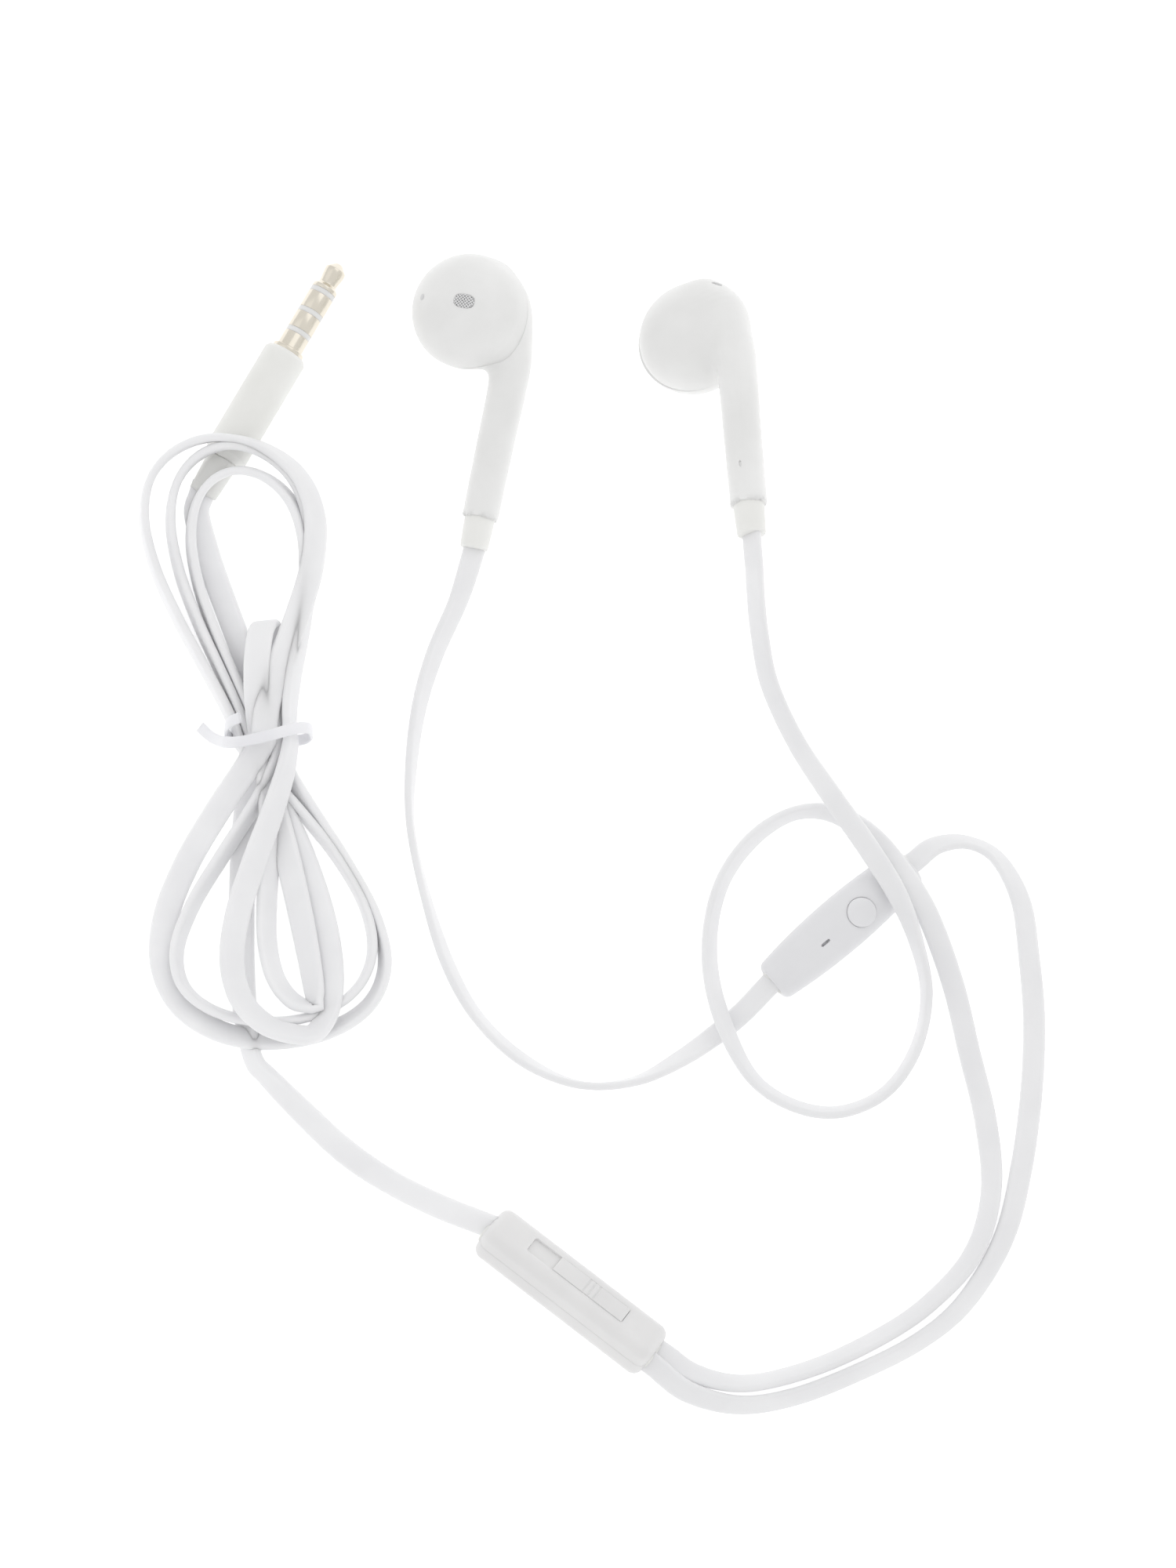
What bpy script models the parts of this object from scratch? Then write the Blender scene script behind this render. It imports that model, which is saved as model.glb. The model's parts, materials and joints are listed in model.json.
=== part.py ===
"""Wired earphones: two open-fit earbuds on flat leads, a microphone remote on the right lead,
a slide volume box at the split, and a main lead tied into a hank that ends in a four-pole plug.

The set lies on a surface at z = 0. Lengths in the layout are millimetres; objects are in metres.
"""
import math

import bmesh
import bpy
from mathutils import Matrix, Vector

MM = 0.001
GAP = 0.3               # clearance between pieces that touch
FINE_GAP = 0.2          # clearance between the thin contacts of the plug

# Middle of the earbuds, remote and volume box in the layout: it becomes the frame's origin.
CENTRE_X = 10.1
CENTRE_Y = -3.1

# Leads: flat ribbons, held here by round tubes of about the same section area.
BRANCH_TUBE = 1.85
MAIN_TUBE = 2.1
POINT_EVERY = 2.4       # tube diameters between the points of a lead

# Earbud, in its own frame: stem along -Y, sound port along +Z on the right bud and -Z on the left.
HEAD_X = 7.6            # half width of the head
HEAD_Y = 7.7            # half height
FRONT_DEPTH = 6.8       # dome with the sound port
REAR_DEPTH = 6.0        # dome behind the driver
WALL = 0.8
STEM_X = 5.8            # the stem's axis beside the head's middle
STEM_BACK = 3.2         # and behind it
STEM_R = 2.4
STEM_BORE = 1.6
STEM_END = 26.5         # open end of the stem, below the head's middle
COLLAR_R = 2.0
COLLAR_TIP_R = 1.8
COLLAR_END = 30.5
PORT_X = 1.4            # half axes of the oval sound port
PORT_Y = 0.95
PORT_SIDE = 0.5         # how far the port's middle lies beside the head's middle
PORT_RISE = -0.2        # and above it
VENT_X = 4.1            # middle of the vent at the head's top
VENT_Y = 5.7
VENT_Z = -1.6

# Remote, in its own frame: long axis X, button on +Z.
REMOTE_HALF = 11.8
REMOTE_END_R = 2.75     # half width at the ends
REMOTE_MID_R = 3.5      # half width in the middle
REMOTE_FLAT = 0.78      # height over width
REMOTE_WALL = 0.8
BUTTON_X = 2.6
BUTTON_R = 1.85
BUTTON_TOP = 3.05
BUTTON_TRAVEL = 0.4
MIC_X = -3.5

# Volume box, in its own frame: long axis X, slider on +Z.
BOX_L = 26.2
BOX_W = 6.4
BOX_H = 5.4
BOX_EDGE = 1.4
BOX_WALL = 0.8
WINDOW_L = 15.0
WINDOW_W = 2.7
THUMB_L = 10.6
THUMB_W = 2.1
THUMB_X = 1.9           # thumb's middle with the slider at its loud end
THUMB_TRAVEL = 4.0

# Plug, in its own frame: axis Z, tip end at z = 0 and the lead leaving towards -Z.
PLUG_R = 1.75
CORE_R = 0.45
CORE_BORE = 0.75
METAL_L = 14.0
BODY_R = 2.95
BODY_L = 16.7
BOOT_L = 5.0

# Places in the layout: x, y and z of each frame, then its rotations in degrees.
RIGHT_BUD = {"at": (-15.4, 61.9, 6.2), "roll": -10, "pitch": 3, "turn": -10.9}
LEFT_BUD = {"at": (14.1, 58.3, 7.0), "roll": -18, "pitch": -9, "turn": 4.4}
REMOTE = {"at": (32.65, -18.85, 3.0), "roll": 15, "turn": 40.5}
VOLUME_BOX = {"at": (-2.2, -65.85, 3.65), "roll": -40, "turn": -37.3}
PLUG_TIP = (-33.0, 69.5, 3.05)
PLUG_HEADING = 60.6     # direction of the tip, degrees from +X

# Routes of the leads, from the piece they leave to the piece they reach.
RIGHT_LOWER_ROUTE = [
    (-15, 30.6, 2.4), (-17, 24, 1.9), (-20, 17, 1.5), (-22, 10, 1.4), (-23, 2, 1.5), (-23, -6, 1.6),
    (-21, -15, 1.5), (-18, -24, 1.4), (-14, -31, 1.3), (-8, -36.5, 1.4), (-1, -39.5, 1.5),
    (6, -39, 1.2), (12, -36, 1), (17, -32.5, 1.1), (20, -30, 1.7), (22.9, -27.1, 3),
]
RIGHT_UPPER_ROUTE = [
    (42.4, -10.5, 3), (45, -8.5, 2.2), (49, -8, 1.6), (53, -10, 1.3), (56, -15.5, 1.1),
    (57, -23, 1), (57.5, -31, 1), (57, -40, 1), (55.5, -50, 1), (53, -59, 1.1), (48, -67, 1.3),
    (42, -72, 1.4), (34, -76, 1.5), (26, -79, 1.6), (19, -80, 1.9), (12.6, -78.4, 3.3),
    (8.5, -75.3, 4),
]
LEFT_ROUTE = [
    (9.7, -73.7, 3), (13.7, -76.2, 2.4), (20, -77.3, 1.8), (28, -75.5, 1.6), (36, -72, 1.5),
    (43, -67.5, 1.4), (49, -61, 1.3), (51.5, -53, 1), (51, -44, 1), (49, -35, 1.1), (47, -26.5, 2),
    (43.6, -18, 5.2), (40, -12.4, 6.8), (36.5, -7.8, 5.2), (32, -4.5, 2.9), (27, -4.2, 1.7),
    (22, -7, 1.5), (18, -12, 1.5), (16, -18, 1.5), (15.8, -25, 2), (17.5, -32, 3.4),
    (21, -38.5, 2), (26, -42, 1.5), (32, -43, 1.5), (38, -40.5, 1.5), (42, -35, 1.5),
    (43.5, -28, 2.3), (42, -21.3, 5.2), (39.5, -15.5, 7.2), (36, -9.8, 7.5), (31.5, -2.8, 6.1),
    (27, 4.5, 5), (23.5, 12, 6.2), (22.1, 18, 9.6), (21.5, 22, 13.2), (21.2, 25.1, 15.9),
    (21, 27.1, 16.7), (20.9, 28.9, 16.6),
]
MAIN_ROUTE = [
    (-43, -36, 1.9), (-41, -38.5, 1.5), (-37, -42.5, 1.3), (-31, -48, 1.2), (-25, -52, 1.3),
    (-19, -55, 2.4), (-13.5, -57.2, 3.5),
]

# Hank of the main lead: two oval lobes, the upper one leaning left, and a waist under the tie.
UPPER_LOBE = {"at": (-45.5, 26), "half": (11, 20.5), "tilt": 8}
LOWER_LOBE = {"at": (-40.3, -17), "half": (14.2, 17.8), "tilt": 0}
WAIST_W = 9.6
WAIST_L = 16
WAIST_THINNER = 0.8
HANK_LOW = 0.8
HANK_HIGH = 7.2
TIE_AT = (-41.3, 5.1)
TIE_W = 1.3
TIE_T = 0.45
TIE_TAIL = 4.0
GRIP_IN_HANK = 14.0     # length of the grip that lies inside the hank

COLOURS = {             # base colour, roughness, metallic
    "white_gloss": ((0.86, 0.86, 0.85), 0.25, 0.0),
    "white_soft": ((0.84, 0.84, 0.82), 0.55, 0.0),
    "lead": ((0.85, 0.85, 0.86), 0.5, 0.0),
    "gold": ((0.78, 0.66, 0.48), 0.2, 1.0),
    "steel": ((0.6, 0.6, 0.62), 0.3, 1.0),
    "magnet": ((0.35, 0.35, 0.37), 0.35, 1.0),
    "copper": ((0.72, 0.4, 0.22), 0.3, 1.0),
    "mesh": ((0.12, 0.12, 0.13), 0.6, 0.0),
    "film": ((0.75, 0.72, 0.6), 0.3, 0.0),
    "board": ((0.05, 0.3, 0.12), 0.4, 0.0),
    "foam": ((0.2, 0.2, 0.2), 0.9, 0.0),
}


# ---------------------------------------------------------------- helpers

def place(x, y, z):
    """A layout point in the frame, in metres."""
    return Vector((x - CENTRE_X, y - CENTRE_Y, z)) * MM


def material(name):
    """The named Principled material, made once."""
    found = bpy.data.materials.get(name)
    if found:
        return found
    colour, roughness, metallic = COLOURS[name]
    made = bpy.data.materials.new(name)
    made.use_nodes = True
    shader = made.node_tree.nodes["Principled BSDF"]
    shader.inputs["Base Color"].default_value = (*colour, 1.0)
    shader.inputs["Roughness"].default_value = roughness
    shader.inputs["Metallic"].default_value = metallic
    return made


def add_object(name, data, collection, finish=None, parent=None):
    """A new object in a collection, with its material and its parent empty."""
    made = bpy.data.objects.new(name, data)
    collection.objects.link(made)
    if finish:
        data.materials.append(material(finish))
    if parent:
        made.parent = parent
    return made


def frame_empty(name, spec):
    """An empty at a layout place: rolled about Y and pitched about X on a bud, or rolled about X."""
    made = bpy.data.objects.new(name, None)
    PARTS.objects.link(made)
    made.location = place(*spec["at"])
    if "pitch" in spec:
        made.rotation_mode = "YXZ"
        angles = (spec["pitch"], spec["roll"], spec["turn"])
    else:
        angles = (spec["roll"], 0, spec["turn"])
    made.rotation_euler = [math.radians(angle) for angle in angles]
    return made


def finish_mesh(bm, name, smooth=True):
    """A mesh in metres from a bmesh in millimetres."""
    bmesh.ops.scale(bm, vec=(MM, MM, MM), verts=bm.verts)
    bmesh.ops.recalc_face_normals(bm, faces=bm.faces)
    mesh = bpy.data.meshes.new(name)
    bm.to_mesh(mesh)
    bm.free()
    if smooth:
        mesh.shade_smooth()
        mesh.set_sharp_from_angle(angle=math.radians(40))
    return mesh


def ball_bm(radii, centre, segments=24, rings=14):
    """An ellipsoid."""
    bm = bmesh.new()
    bmesh.ops.create_uvsphere(bm, u_segments=segments, v_segments=rings, radius=1.0)
    bmesh.ops.scale(bm, vec=radii, verts=bm.verts)
    bmesh.ops.translate(bm, vec=centre, verts=bm.verts)
    return bm


def rod_bm(r1, r2, start, end, sides=20):
    """A rod or cone between two points."""
    start = Vector(start)
    end = Vector(end)
    bm = bmesh.new()
    bmesh.ops.create_cone(bm, cap_ends=True, segments=sides, radius1=r1, radius2=r2,
                          depth=(end - start).length)
    turn = Vector((0, 0, 1)).rotation_difference(end - start).to_matrix()
    bmesh.ops.rotate(bm, cent=(0, 0, 0), matrix=turn, verts=bm.verts)
    bmesh.ops.translate(bm, vec=(start + end) / 2, verts=bm.verts)
    return bm


def block_bm(size, centre, edge=0.0):
    """A box, with its edges rounded by the given radius."""
    bm = bmesh.new()
    bmesh.ops.create_cube(bm, size=1.0)
    bmesh.ops.scale(bm, vec=size, verts=bm.verts)
    if edge:
        bmesh.ops.bevel(bm, geom=bm.edges[:], offset=edge, segments=3, profile=0.5,
                        affect="EDGES")
    bmesh.ops.translate(bm, vec=centre, verts=bm.verts)
    return bm


def cut_open(bm, point, normal):
    """Removes what lies on the normal's side of a plane and leaves the cut open."""
    geometry = bm.verts[:] + bm.edges[:] + bm.faces[:]
    bmesh.ops.bisect_plane(bm, geom=geometry, dist=1e-6, plane_co=point, plane_no=normal,
                           clear_outer=True)


def cut_closed(bm, point, normal):
    """The same cut, closed with a flat face."""
    cut_open(bm, point, normal)
    open_edges = [edge for edge in bm.edges if edge.is_boundary]
    bmesh.ops.contextual_create(bm, geom=open_edges)


def part(name, bm, finish, parent=None):
    """A finished piece from a bmesh."""
    return add_object(name, finish_mesh(bm, name), PARTS, finish, parent)


def boolean(target, bm, name, operation="DIFFERENCE"):
    """Joins or cuts a piece with a guide solid, which is itself left out of the object."""
    guide = add_object(name, finish_mesh(bm, name), CUTTERS, parent=target.parent)
    guide.hide_render = True
    guide.display_type = "WIRE"
    step = target.modifiers.new(name, "BOOLEAN")
    step.operation = operation
    step.object = guide


def solidify(target, thickness):
    """Gives an open surface a wall on its inner side."""
    step = target.modifiers.new("wall", "SOLIDIFY")
    step.thickness = thickness * MM
    step.offset = -1
    step.use_even_offset = True


def turned(name, outline, finish, parent=None, sides=20):
    """A piece turned about Z: the outline is (radius, height) down its outer side."""
    mesh = bpy.data.meshes.new(name)
    corners = [(radius * MM, 0, height * MM) for radius, height in outline]
    closed = min(radius for radius, _ in outline) > 0
    links = [(i, i + 1) for i in range(len(corners) - 1)]
    if closed:
        links.append((len(corners) - 1, 0))
    mesh.from_pydata(corners, links, [])
    made = add_object(name, mesh, PARTS, finish, parent)
    step = made.modifiers.new("turn", "SCREW")
    step.axis = "Z"
    step.angle = math.tau
    step.steps = sides
    step.render_steps = sides
    step.use_merge_vertices = True
    step.merge_threshold = 0.00001
    return made


def ring_outline(inner, outer, low, high):
    """The closed section of a plain ring."""
    return [(outer, high), (outer, low), (inner, low), (inner, high)]


def smooth_route(points, every):
    """Points at an even spacing on a smooth curve through the given ones."""
    path = [Vector(point) for point in points]
    last = len(path) - 1
    fine = []
    for i in range(last):
        before, start, end, after = [path[min(max(i + k, 0), last)] for k in (-1, 0, 1, 2)]
        for step in range(12):
            t = step / 12
            fine.append(0.5 * (2 * start + (end - before) * t
                               + (2 * before - 5 * start + 4 * end - after) * t * t
                               + (3 * start - before - 3 * end + after) * t ** 3))
    fine.append(path[-1].copy())
    travelled = [0.0]
    for a, b in zip(fine, fine[1:]):
        travelled.append(travelled[-1] + (b - a).length)
    pieces = max(2, round(travelled[-1] / every))
    even = []
    at = 0
    for k in range(pieces + 1):
        goal = travelled[-1] * k / pieces
        while at < len(fine) - 2 and travelled[at + 1] < goal:
            at += 1
        share = (goal - travelled[at]) / (travelled[at + 1] - travelled[at])
        even.append(fine[at].lerp(fine[at + 1], min(max(share, 0.0), 1.0)))
    return even


def tube(name, points, diameter, finish, parent=None):
    """A round lead along layout points, or along points in its parent's frame."""
    curve = bpy.data.curves.new(name, "CURVE")
    curve.dimensions = "3D"
    curve.bevel_depth = diameter / 2 * MM
    curve.bevel_resolution = 2
    curve.use_fill_caps = True
    spline = curve.splines.new("POLY")
    even = smooth_route(points, diameter * POINT_EVERY)
    spline.points.add(len(even) - 1)
    for point, where in zip(spline.points, even):
        spot = where * MM if parent else place(*where)
        point.co = (*spot, 1.0)
    return add_object(name, curve, PARTS, finish, parent)


# ---------------------------------------------------------------- earbuds

def earbud(side, spec, facing):
    """One earbud. facing is +1 where the sound port looks along +Z and -1 where it is mirrored."""
    frame = frame_empty(side + "_bud_frame", spec)
    stem_z = -STEM_BACK * facing
    up = (0, 0, facing)
    down = (0, 0, -facing)

    bm = ball_bm((HEAD_X, HEAD_Y, FRONT_DEPTH), (0, 0, 0))
    cut_open(bm, (0, 0, 0), down)
    front = part(side + "_front_shell", bm, "white_gloss", frame)
    solidify(front, WALL)
    bm = rod_bm(1, 1, (0, 0, 3 * facing), (0, 0, 9 * facing))
    bmesh.ops.scale(bm, vec=(PORT_X, PORT_Y, 1), verts=bm.verts)
    bmesh.ops.translate(bm, vec=(PORT_SIDE, PORT_RISE, 0), verts=bm.verts)
    boolean(front, bm, side + "_port_cutter")

    bm = ball_bm((HEAD_X, HEAD_Y, REAR_DEPTH), (0, 0, 0))
    cut_closed(bm, (0, 0, -GAP * facing), up)
    rear = part(side + "_rear_shell", bm, "white_gloss", frame)
    bm = rod_bm(STEM_R, STEM_R, (STEM_X, 0, stem_z), (STEM_X, -STEM_END, stem_z))
    boolean(rear, bm, side + "_stem", "UNION")
    bm = ball_bm((STEM_R, 3.5, STEM_R), (STEM_X, 0.01, stem_z), 24, 12)
    boolean(rear, bm, side + "_stem_top", "UNION")
    bm = ball_bm((HEAD_X - WALL, HEAD_Y - WALL, REAR_DEPTH - WALL), (0, 0, 0))
    boolean(rear, bm, side + "_rear_cavity")
    bm = rod_bm(STEM_BORE, STEM_BORE, (STEM_X, 0.7, stem_z), (STEM_X, -STEM_END - 2, stem_z), 20)
    boolean(rear, bm, side + "_stem_bore")
    bm = block_bm((2.2, 3.0, 1.3), (VENT_X, VENT_Y, VENT_Z * facing))
    boolean(rear, bm, side + "_vent_slot")
    bm = block_bm((0.5, 1.2, 3.0), (STEM_X, -21.5, stem_z - 2.6 * facing))
    boolean(rear, bm, side + "_stem_slot")

    bm = rod_bm(1, 1, (0, 0, 5.0 * facing), (0, 0, 5.35 * facing))
    bmesh.ops.scale(bm, vec=(PORT_X + 0.5, PORT_Y + 0.5, 1), verts=bm.verts)
    bmesh.ops.translate(bm, vec=(PORT_SIDE, PORT_RISE, 0), verts=bm.verts)
    part(side + "_port_grille", bm, "mesh", frame)
    part(side + "_vent_mesh", block_bm((1.6, 0.3, 0.7), (VENT_X, VENT_Y, VENT_Z * facing)),
         "mesh", frame)

    flip = frame
    if facing < 0:
        flip = bpy.data.objects.new(side + "_driver_frame_empty", None)
        PARTS.objects.link(flip)
        flip.parent = frame
        flip.rotation_euler = (math.pi, 0, 0)
    turned(side + "_driver_gasket", ring_outline(5.3, 6.0, 0.7, 1.2), "foam", flip)
    turned(side + "_driver_frame",
           [(5.9, 0.4), (5.9, -1.9), (3.6, -1.9), (3.6, -1.4), (5.4, -1.4), (5.4, 0.4)],
           "white_soft", flip)
    turned(side + "_diaphragm",
           [(0, 1.35), (1.4, 1.2), (2.5, 0.75), (3.2, 0.9), (4.3, 0.9), (5.1, 0.6), (5.1, 0.35),
            (4.3, 0.6), (3.2, 0.6), (2.5, 0.4), (1.4, 0.9), (0, 1.05)], "film", flip)
    turned(side + "_voice_coil", ring_outline(2.3, 2.6, -2.9, -0.1), "copper", flip)
    turned(side + "_top_plate", [(0, -1.3), (2.0, -1.3), (2.0, -1.9), (0, -1.9)], "steel", flip)
    turned(side + "_magnet", [(0, -2.2), (2.0, -2.2), (2.0, -3.5), (0, -3.5)], "magnet", flip)
    turned(side + "_yoke",
           [(0, -3.8), (2.9, -3.8), (2.9, -2.2), (3.3, -2.2), (3.3, -4.2), (0, -4.2)],
           "steel", flip)

    bm = rod_bm(COLLAR_TIP_R, COLLAR_R, (STEM_X, -COLLAR_END, stem_z),
                (STEM_X, -STEM_END - GAP, stem_z))
    collar = part(side + "_strain_relief", bm, "white_soft", frame)
    bm = rod_bm(STEM_BORE - GAP, STEM_BORE - GAP, (STEM_X, -STEM_END - 1, stem_z),
                (STEM_X, -STEM_END + 4, stem_z), 20)
    boolean(collar, bm, side + "_collar_spigot", "UNION")
    tube(side + "_inner_lead",
         [(STEM_X, -STEM_END + 4.3, stem_z), (STEM_X, -15, stem_z), (STEM_X - 0.1, -8, stem_z),
          (STEM_X - 0.5, -4.5, stem_z), (4.4, -2.2, -2.8 * facing)], 0.8, "lead", frame)


# ---------------------------------------------------------------- remote

def spindle_half(top):
    """The remote's upper or lower outer surface, open at its ends and along its side seam."""
    bm = bmesh.new()
    steps = 14
    ends = 1.2          # length of the rounding at each end
    for k in range(steps + 1):
        x = -REMOTE_HALF + 2 * REMOTE_HALF * k / steps
        share = 1 - (x / REMOTE_HALF) ** 2
        radius = REMOTE_END_R + (REMOTE_MID_R - REMOTE_END_R) * share
        if REMOTE_HALF - abs(x) < ends:
            radius -= 0.35
        bm.verts.new((x, radius, 0))
    bm.verts.ensure_lookup_table()
    line = [bm.edges.new((bm.verts[k], bm.verts[k + 1])) for k in range(steps)]
    bmesh.ops.spin(bm, geom=bm.verts[:] + line, cent=(0, 0, 0), axis=(1, 0, 0), steps=12,
                   angle=math.pi)
    height = REMOTE_FLAT if top else -REMOTE_FLAT
    bmesh.ops.scale(bm, vec=(1, 1, height), verts=bm.verts)
    shift = GAP / 2 if top else -GAP / 2
    bmesh.ops.translate(bm, vec=(0, 0, shift), verts=bm.verts)
    return bm


def outward(mesh):
    """Turns an open surface's faces away from the long axis."""
    bm = bmesh.new()
    bm.from_mesh(mesh)
    for face in bm.faces:
        middle = face.calc_center_median()
        middle.x = 0
        if face.normal.dot(middle) < 0:
            face.normal_flip()
    bm.to_mesh(mesh)
    bm.free()


def remote():
    """The microphone remote, with its button on a body of its own."""
    frame = frame_empty("remote_frame", REMOTE)
    top = part("remote_top_cover", spindle_half(True), "white_gloss", frame)
    outward(top.data)
    solidify(top, REMOTE_WALL)
    boolean(top, rod_bm(BUTTON_R + GAP, BUTTON_R + GAP, (BUTTON_X, 0, 1), (BUTTON_X, 0, 5)),
            "button_hole")
    boolean(top, block_bm((1.5, 0.45, 3), (MIC_X, 0, 3)), "microphone_slot")
    bottom = part("remote_bottom_cover", spindle_half(False), "white_gloss", frame)
    outward(bottom.data)
    solidify(bottom, REMOTE_WALL)

    bm = rod_bm(BUTTON_R, BUTTON_R, (BUTTON_X, 0, 1.6), (BUTTON_X, 0, BUTTON_TOP))
    button = part("remote_button", bm, "white_gloss", frame)
    boolean(button, rod_bm(0.5, 0.5, (BUTTON_X, 0, 0.9), (BUTTON_X, 0, 2)), "button_post", "UNION")
    part("remote_dome_switch", rod_bm(1.3, 1.3, (BUTTON_X, 0, -0.35), (BUTTON_X, 0, 0.2), 16),
         "steel", frame)
    part("remote_circuit_board", block_bm((16, 3.4, 0.5), (0, 0, -0.95)), "board", frame)
    part("microphone_capsule", rod_bm(1.2, 1.2, (MIC_X, 0, -0.35), (MIC_X, 0, 0.9), 20),
         "steel", frame)
    inner = REMOTE_END_R - 0.35 - REMOTE_WALL - 0.5
    for name, way in (("remote_lower_grommet", -1), ("remote_upper_grommet", 1)):
        bm = rod_bm(inner, inner, (way * (REMOTE_HALF - 2), 0, 0),
                    (way * (REMOTE_HALF + 0.6), 0, 0), 20)
        bmesh.ops.scale(bm, vec=(1, 1, 0.75), verts=bm.verts)
        part(name, bm, "white_soft", frame)


# ---------------------------------------------------------------- volume box

def volume_box():
    """The volume box at the split of the leads, with its slider on a body of its own."""
    frame = frame_empty("volume_box_frame", VOLUME_BOX)
    size = (BOX_L, BOX_W, BOX_H)
    end_hole = (BOX_L + 4, 4.6, 2.0)
    for name, way in (("volume_top_cover", 1), ("volume_bottom_cover", -1)):
        bm = block_bm(size, (0, 0, 0), BOX_EDGE)
        cut_open(bm, (0, 0, way * GAP / 2), (0, 0, -way))
        cover = part(name, bm, "white_gloss", frame)
        outward(cover.data)
        solidify(cover, BOX_WALL)
        boolean(cover, block_bm(end_hole, (0, 0, 0)), name + "_end_holes")
        if way > 0:
            boolean(cover, block_bm((WINDOW_L, WINDOW_W, 4), (0, 0, 3)), "slider_window")

    plate = part("slider_guide_plate", block_bm((19, 4.0, 0.4), (0, 0, 1.35)), "white_soft", frame)
    slot = THUMB_TRAVEL + 1.4 + 2 * GAP
    boolean(plate, block_bm((slot, 0.8 + 2 * GAP, 2), (THUMB_X - THUMB_TRAVEL / 2, 0, 1.3)),
            "guide_slot")
    thumb = part("volume_thumb", block_bm((THUMB_L, THUMB_W, 1.05), (THUMB_X, 0, 2.4), 0.2),
                 "white_gloss", frame)
    boolean(thumb, block_bm((1.4, 0.8, 1.6), (THUMB_X, 0, 1.4)), "thumb_post", "UNION")
    part("slider_wiper", block_bm((1.8, 1.6, 0.3), (THUMB_X, 0, 0.15)), "gold", frame)
    part("slider_resistor_track", block_bm((13, 3.2, 0.5), (0, 0, -0.55)), "steel", frame)
    part("volume_circuit_board", block_bm((17, 3.8, 0.4), (0, 0, -1.35)), "board", frame)
    for name, way in (("main_lead_grommet", -1), ("split_lead_grommet", 1)):
        part(name, block_bm((2.6, 4.0, 1.4), (way * (BOX_L / 2 - 0.5), 0, 0), 0.25),
             "white_soft", frame)


# ---------------------------------------------------------------- plug, hank and leads

def plug():
    """The jack plug: contacts and insulators threaded on the tip's core, then the grip."""
    frame = bpy.data.objects.new("plug_frame", None)
    PARTS.objects.link(frame)
    frame.location = place(*PLUG_TIP)
    frame.rotation_euler = (0, math.radians(90), math.radians(PLUG_HEADING))

    turned("plug_tip",
           [(0, 0), (0.45, -0.05), (1.45, -1.0), (1.45, -1.6), (1.22, -3.3), (1.6, -3.6),
            (1.6, -4.1), (CORE_R, -4.1), (CORE_R, -18), (0, -18)], "gold", frame)
    stations = [
        ("plug_insulator_1", 4.3, 4.9, PLUG_R - 0.05, "white_soft"),
        ("plug_ring_1", 5.1, 7.4, PLUG_R, "gold"),
        ("plug_insulator_2", 7.6, 8.1, PLUG_R - 0.05, "white_soft"),
        ("plug_ring_2", 8.3, 10.5, PLUG_R, "gold"),
        ("plug_insulator_3", 10.7, 11.2, PLUG_R - 0.05, "white_soft"),
    ]
    for name, start, end, radius, finish in stations:
        turned(name, ring_outline(CORE_BORE, radius, -end, -start), finish, frame)
    turned("plug_sleeve",
           [(PLUG_R, -11.4), (PLUG_R, -13.4), (2.2, -13.4), (2.2, -METAL_L), (1.5, -METAL_L),
            (1.5, -19), (CORE_BORE, -19), (CORE_BORE, -11.4)], "gold", frame)
    start = METAL_L + FINE_GAP
    end = start + BODY_L
    turned("plug_grip",
           [(0, -20), (1.8, -20), (1.8, -start), (BODY_R - 0.3, -start), (BODY_R, -start - 0.3),
            (BODY_R, -end + 1), (BODY_R - 0.8, -end), (0, -end)], "white_gloss", frame)
    bm = rod_bm(1.3, 2.0, (0, 0, -end - GAP - BOOT_L), (0, 0, -end - GAP), 20)
    part("plug_boot", bm, "white_soft", frame)
    return frame


def lobe_bm(spec, height, middle):
    """An upright oval disc of the hank."""
    bm = rod_bm(1, 1, (0, 0, -height / 2), (0, 0, height / 2), 32)
    bmesh.ops.scale(bm, vec=(*spec["half"], 1), verts=bm.verts)
    turn = Matrix.Rotation(math.radians(spec["tilt"]), 3, "Z")
    bmesh.ops.rotate(bm, cent=(0, 0, 0), matrix=turn, verts=bm.verts)
    bmesh.ops.translate(bm, vec=place(*spec["at"], middle) / MM, verts=bm.verts)
    return bm


def hank(plug_frame):
    """The tied hank of the main lead, as one solid of its outer shape, and its tie."""
    height = HANK_HIGH - HANK_LOW
    middle = (HANK_LOW + HANK_HIGH) / 2
    spot = place(*TIE_AT, middle) / MM
    made = part("main_lead_hank", block_bm((WAIST_W, WAIST_L, height - WAIST_THINNER), spot), "lead")
    boolean(made, lobe_bm(UPPER_LOBE, height, middle), "upper_lobe", "UNION")
    boolean(made, lobe_bm(LOWER_LOBE, height, middle), "lower_lobe", "UNION")

    grip_end = METAL_L + FINE_GAP + BODY_L
    low = grip_end - GRIP_IN_HANK
    high = grip_end + GAP + BOOT_L + GAP
    notch = block_bm((12, 2 * (BODY_R + 0.4), high - low), (0, 0, -(low + high) / 2))
    guide = add_object("plug_notch", finish_mesh(notch, "plug_notch"), CUTTERS, parent=plug_frame)
    guide.hide_render = True
    guide.display_type = "WIRE"
    step = made.modifiers.new("plug_notch", "BOOLEAN")
    step.operation = "DIFFERENCE"
    step.object = guide

    clear = GAP + 0.35
    hole = (WAIST_W + 2 * clear, TIE_W + 2, height + 2 * GAP)
    outer = (hole[0] + 2 * TIE_T, TIE_W, hole[2] + 2 * TIE_T)
    tie = part("hank_tie", block_bm(outer, spot, 0.2), "white_soft")
    tail = Vector((spot.x - outer[0] / 2 - 1.6, spot.y, spot.z + 1))
    boolean(tie, block_bm((TIE_TAIL, TIE_W - 0.2, TIE_T), tail), "tie_tail", "UNION")
    boolean(tie, block_bm(hole, spot), "tie_hole")


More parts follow.
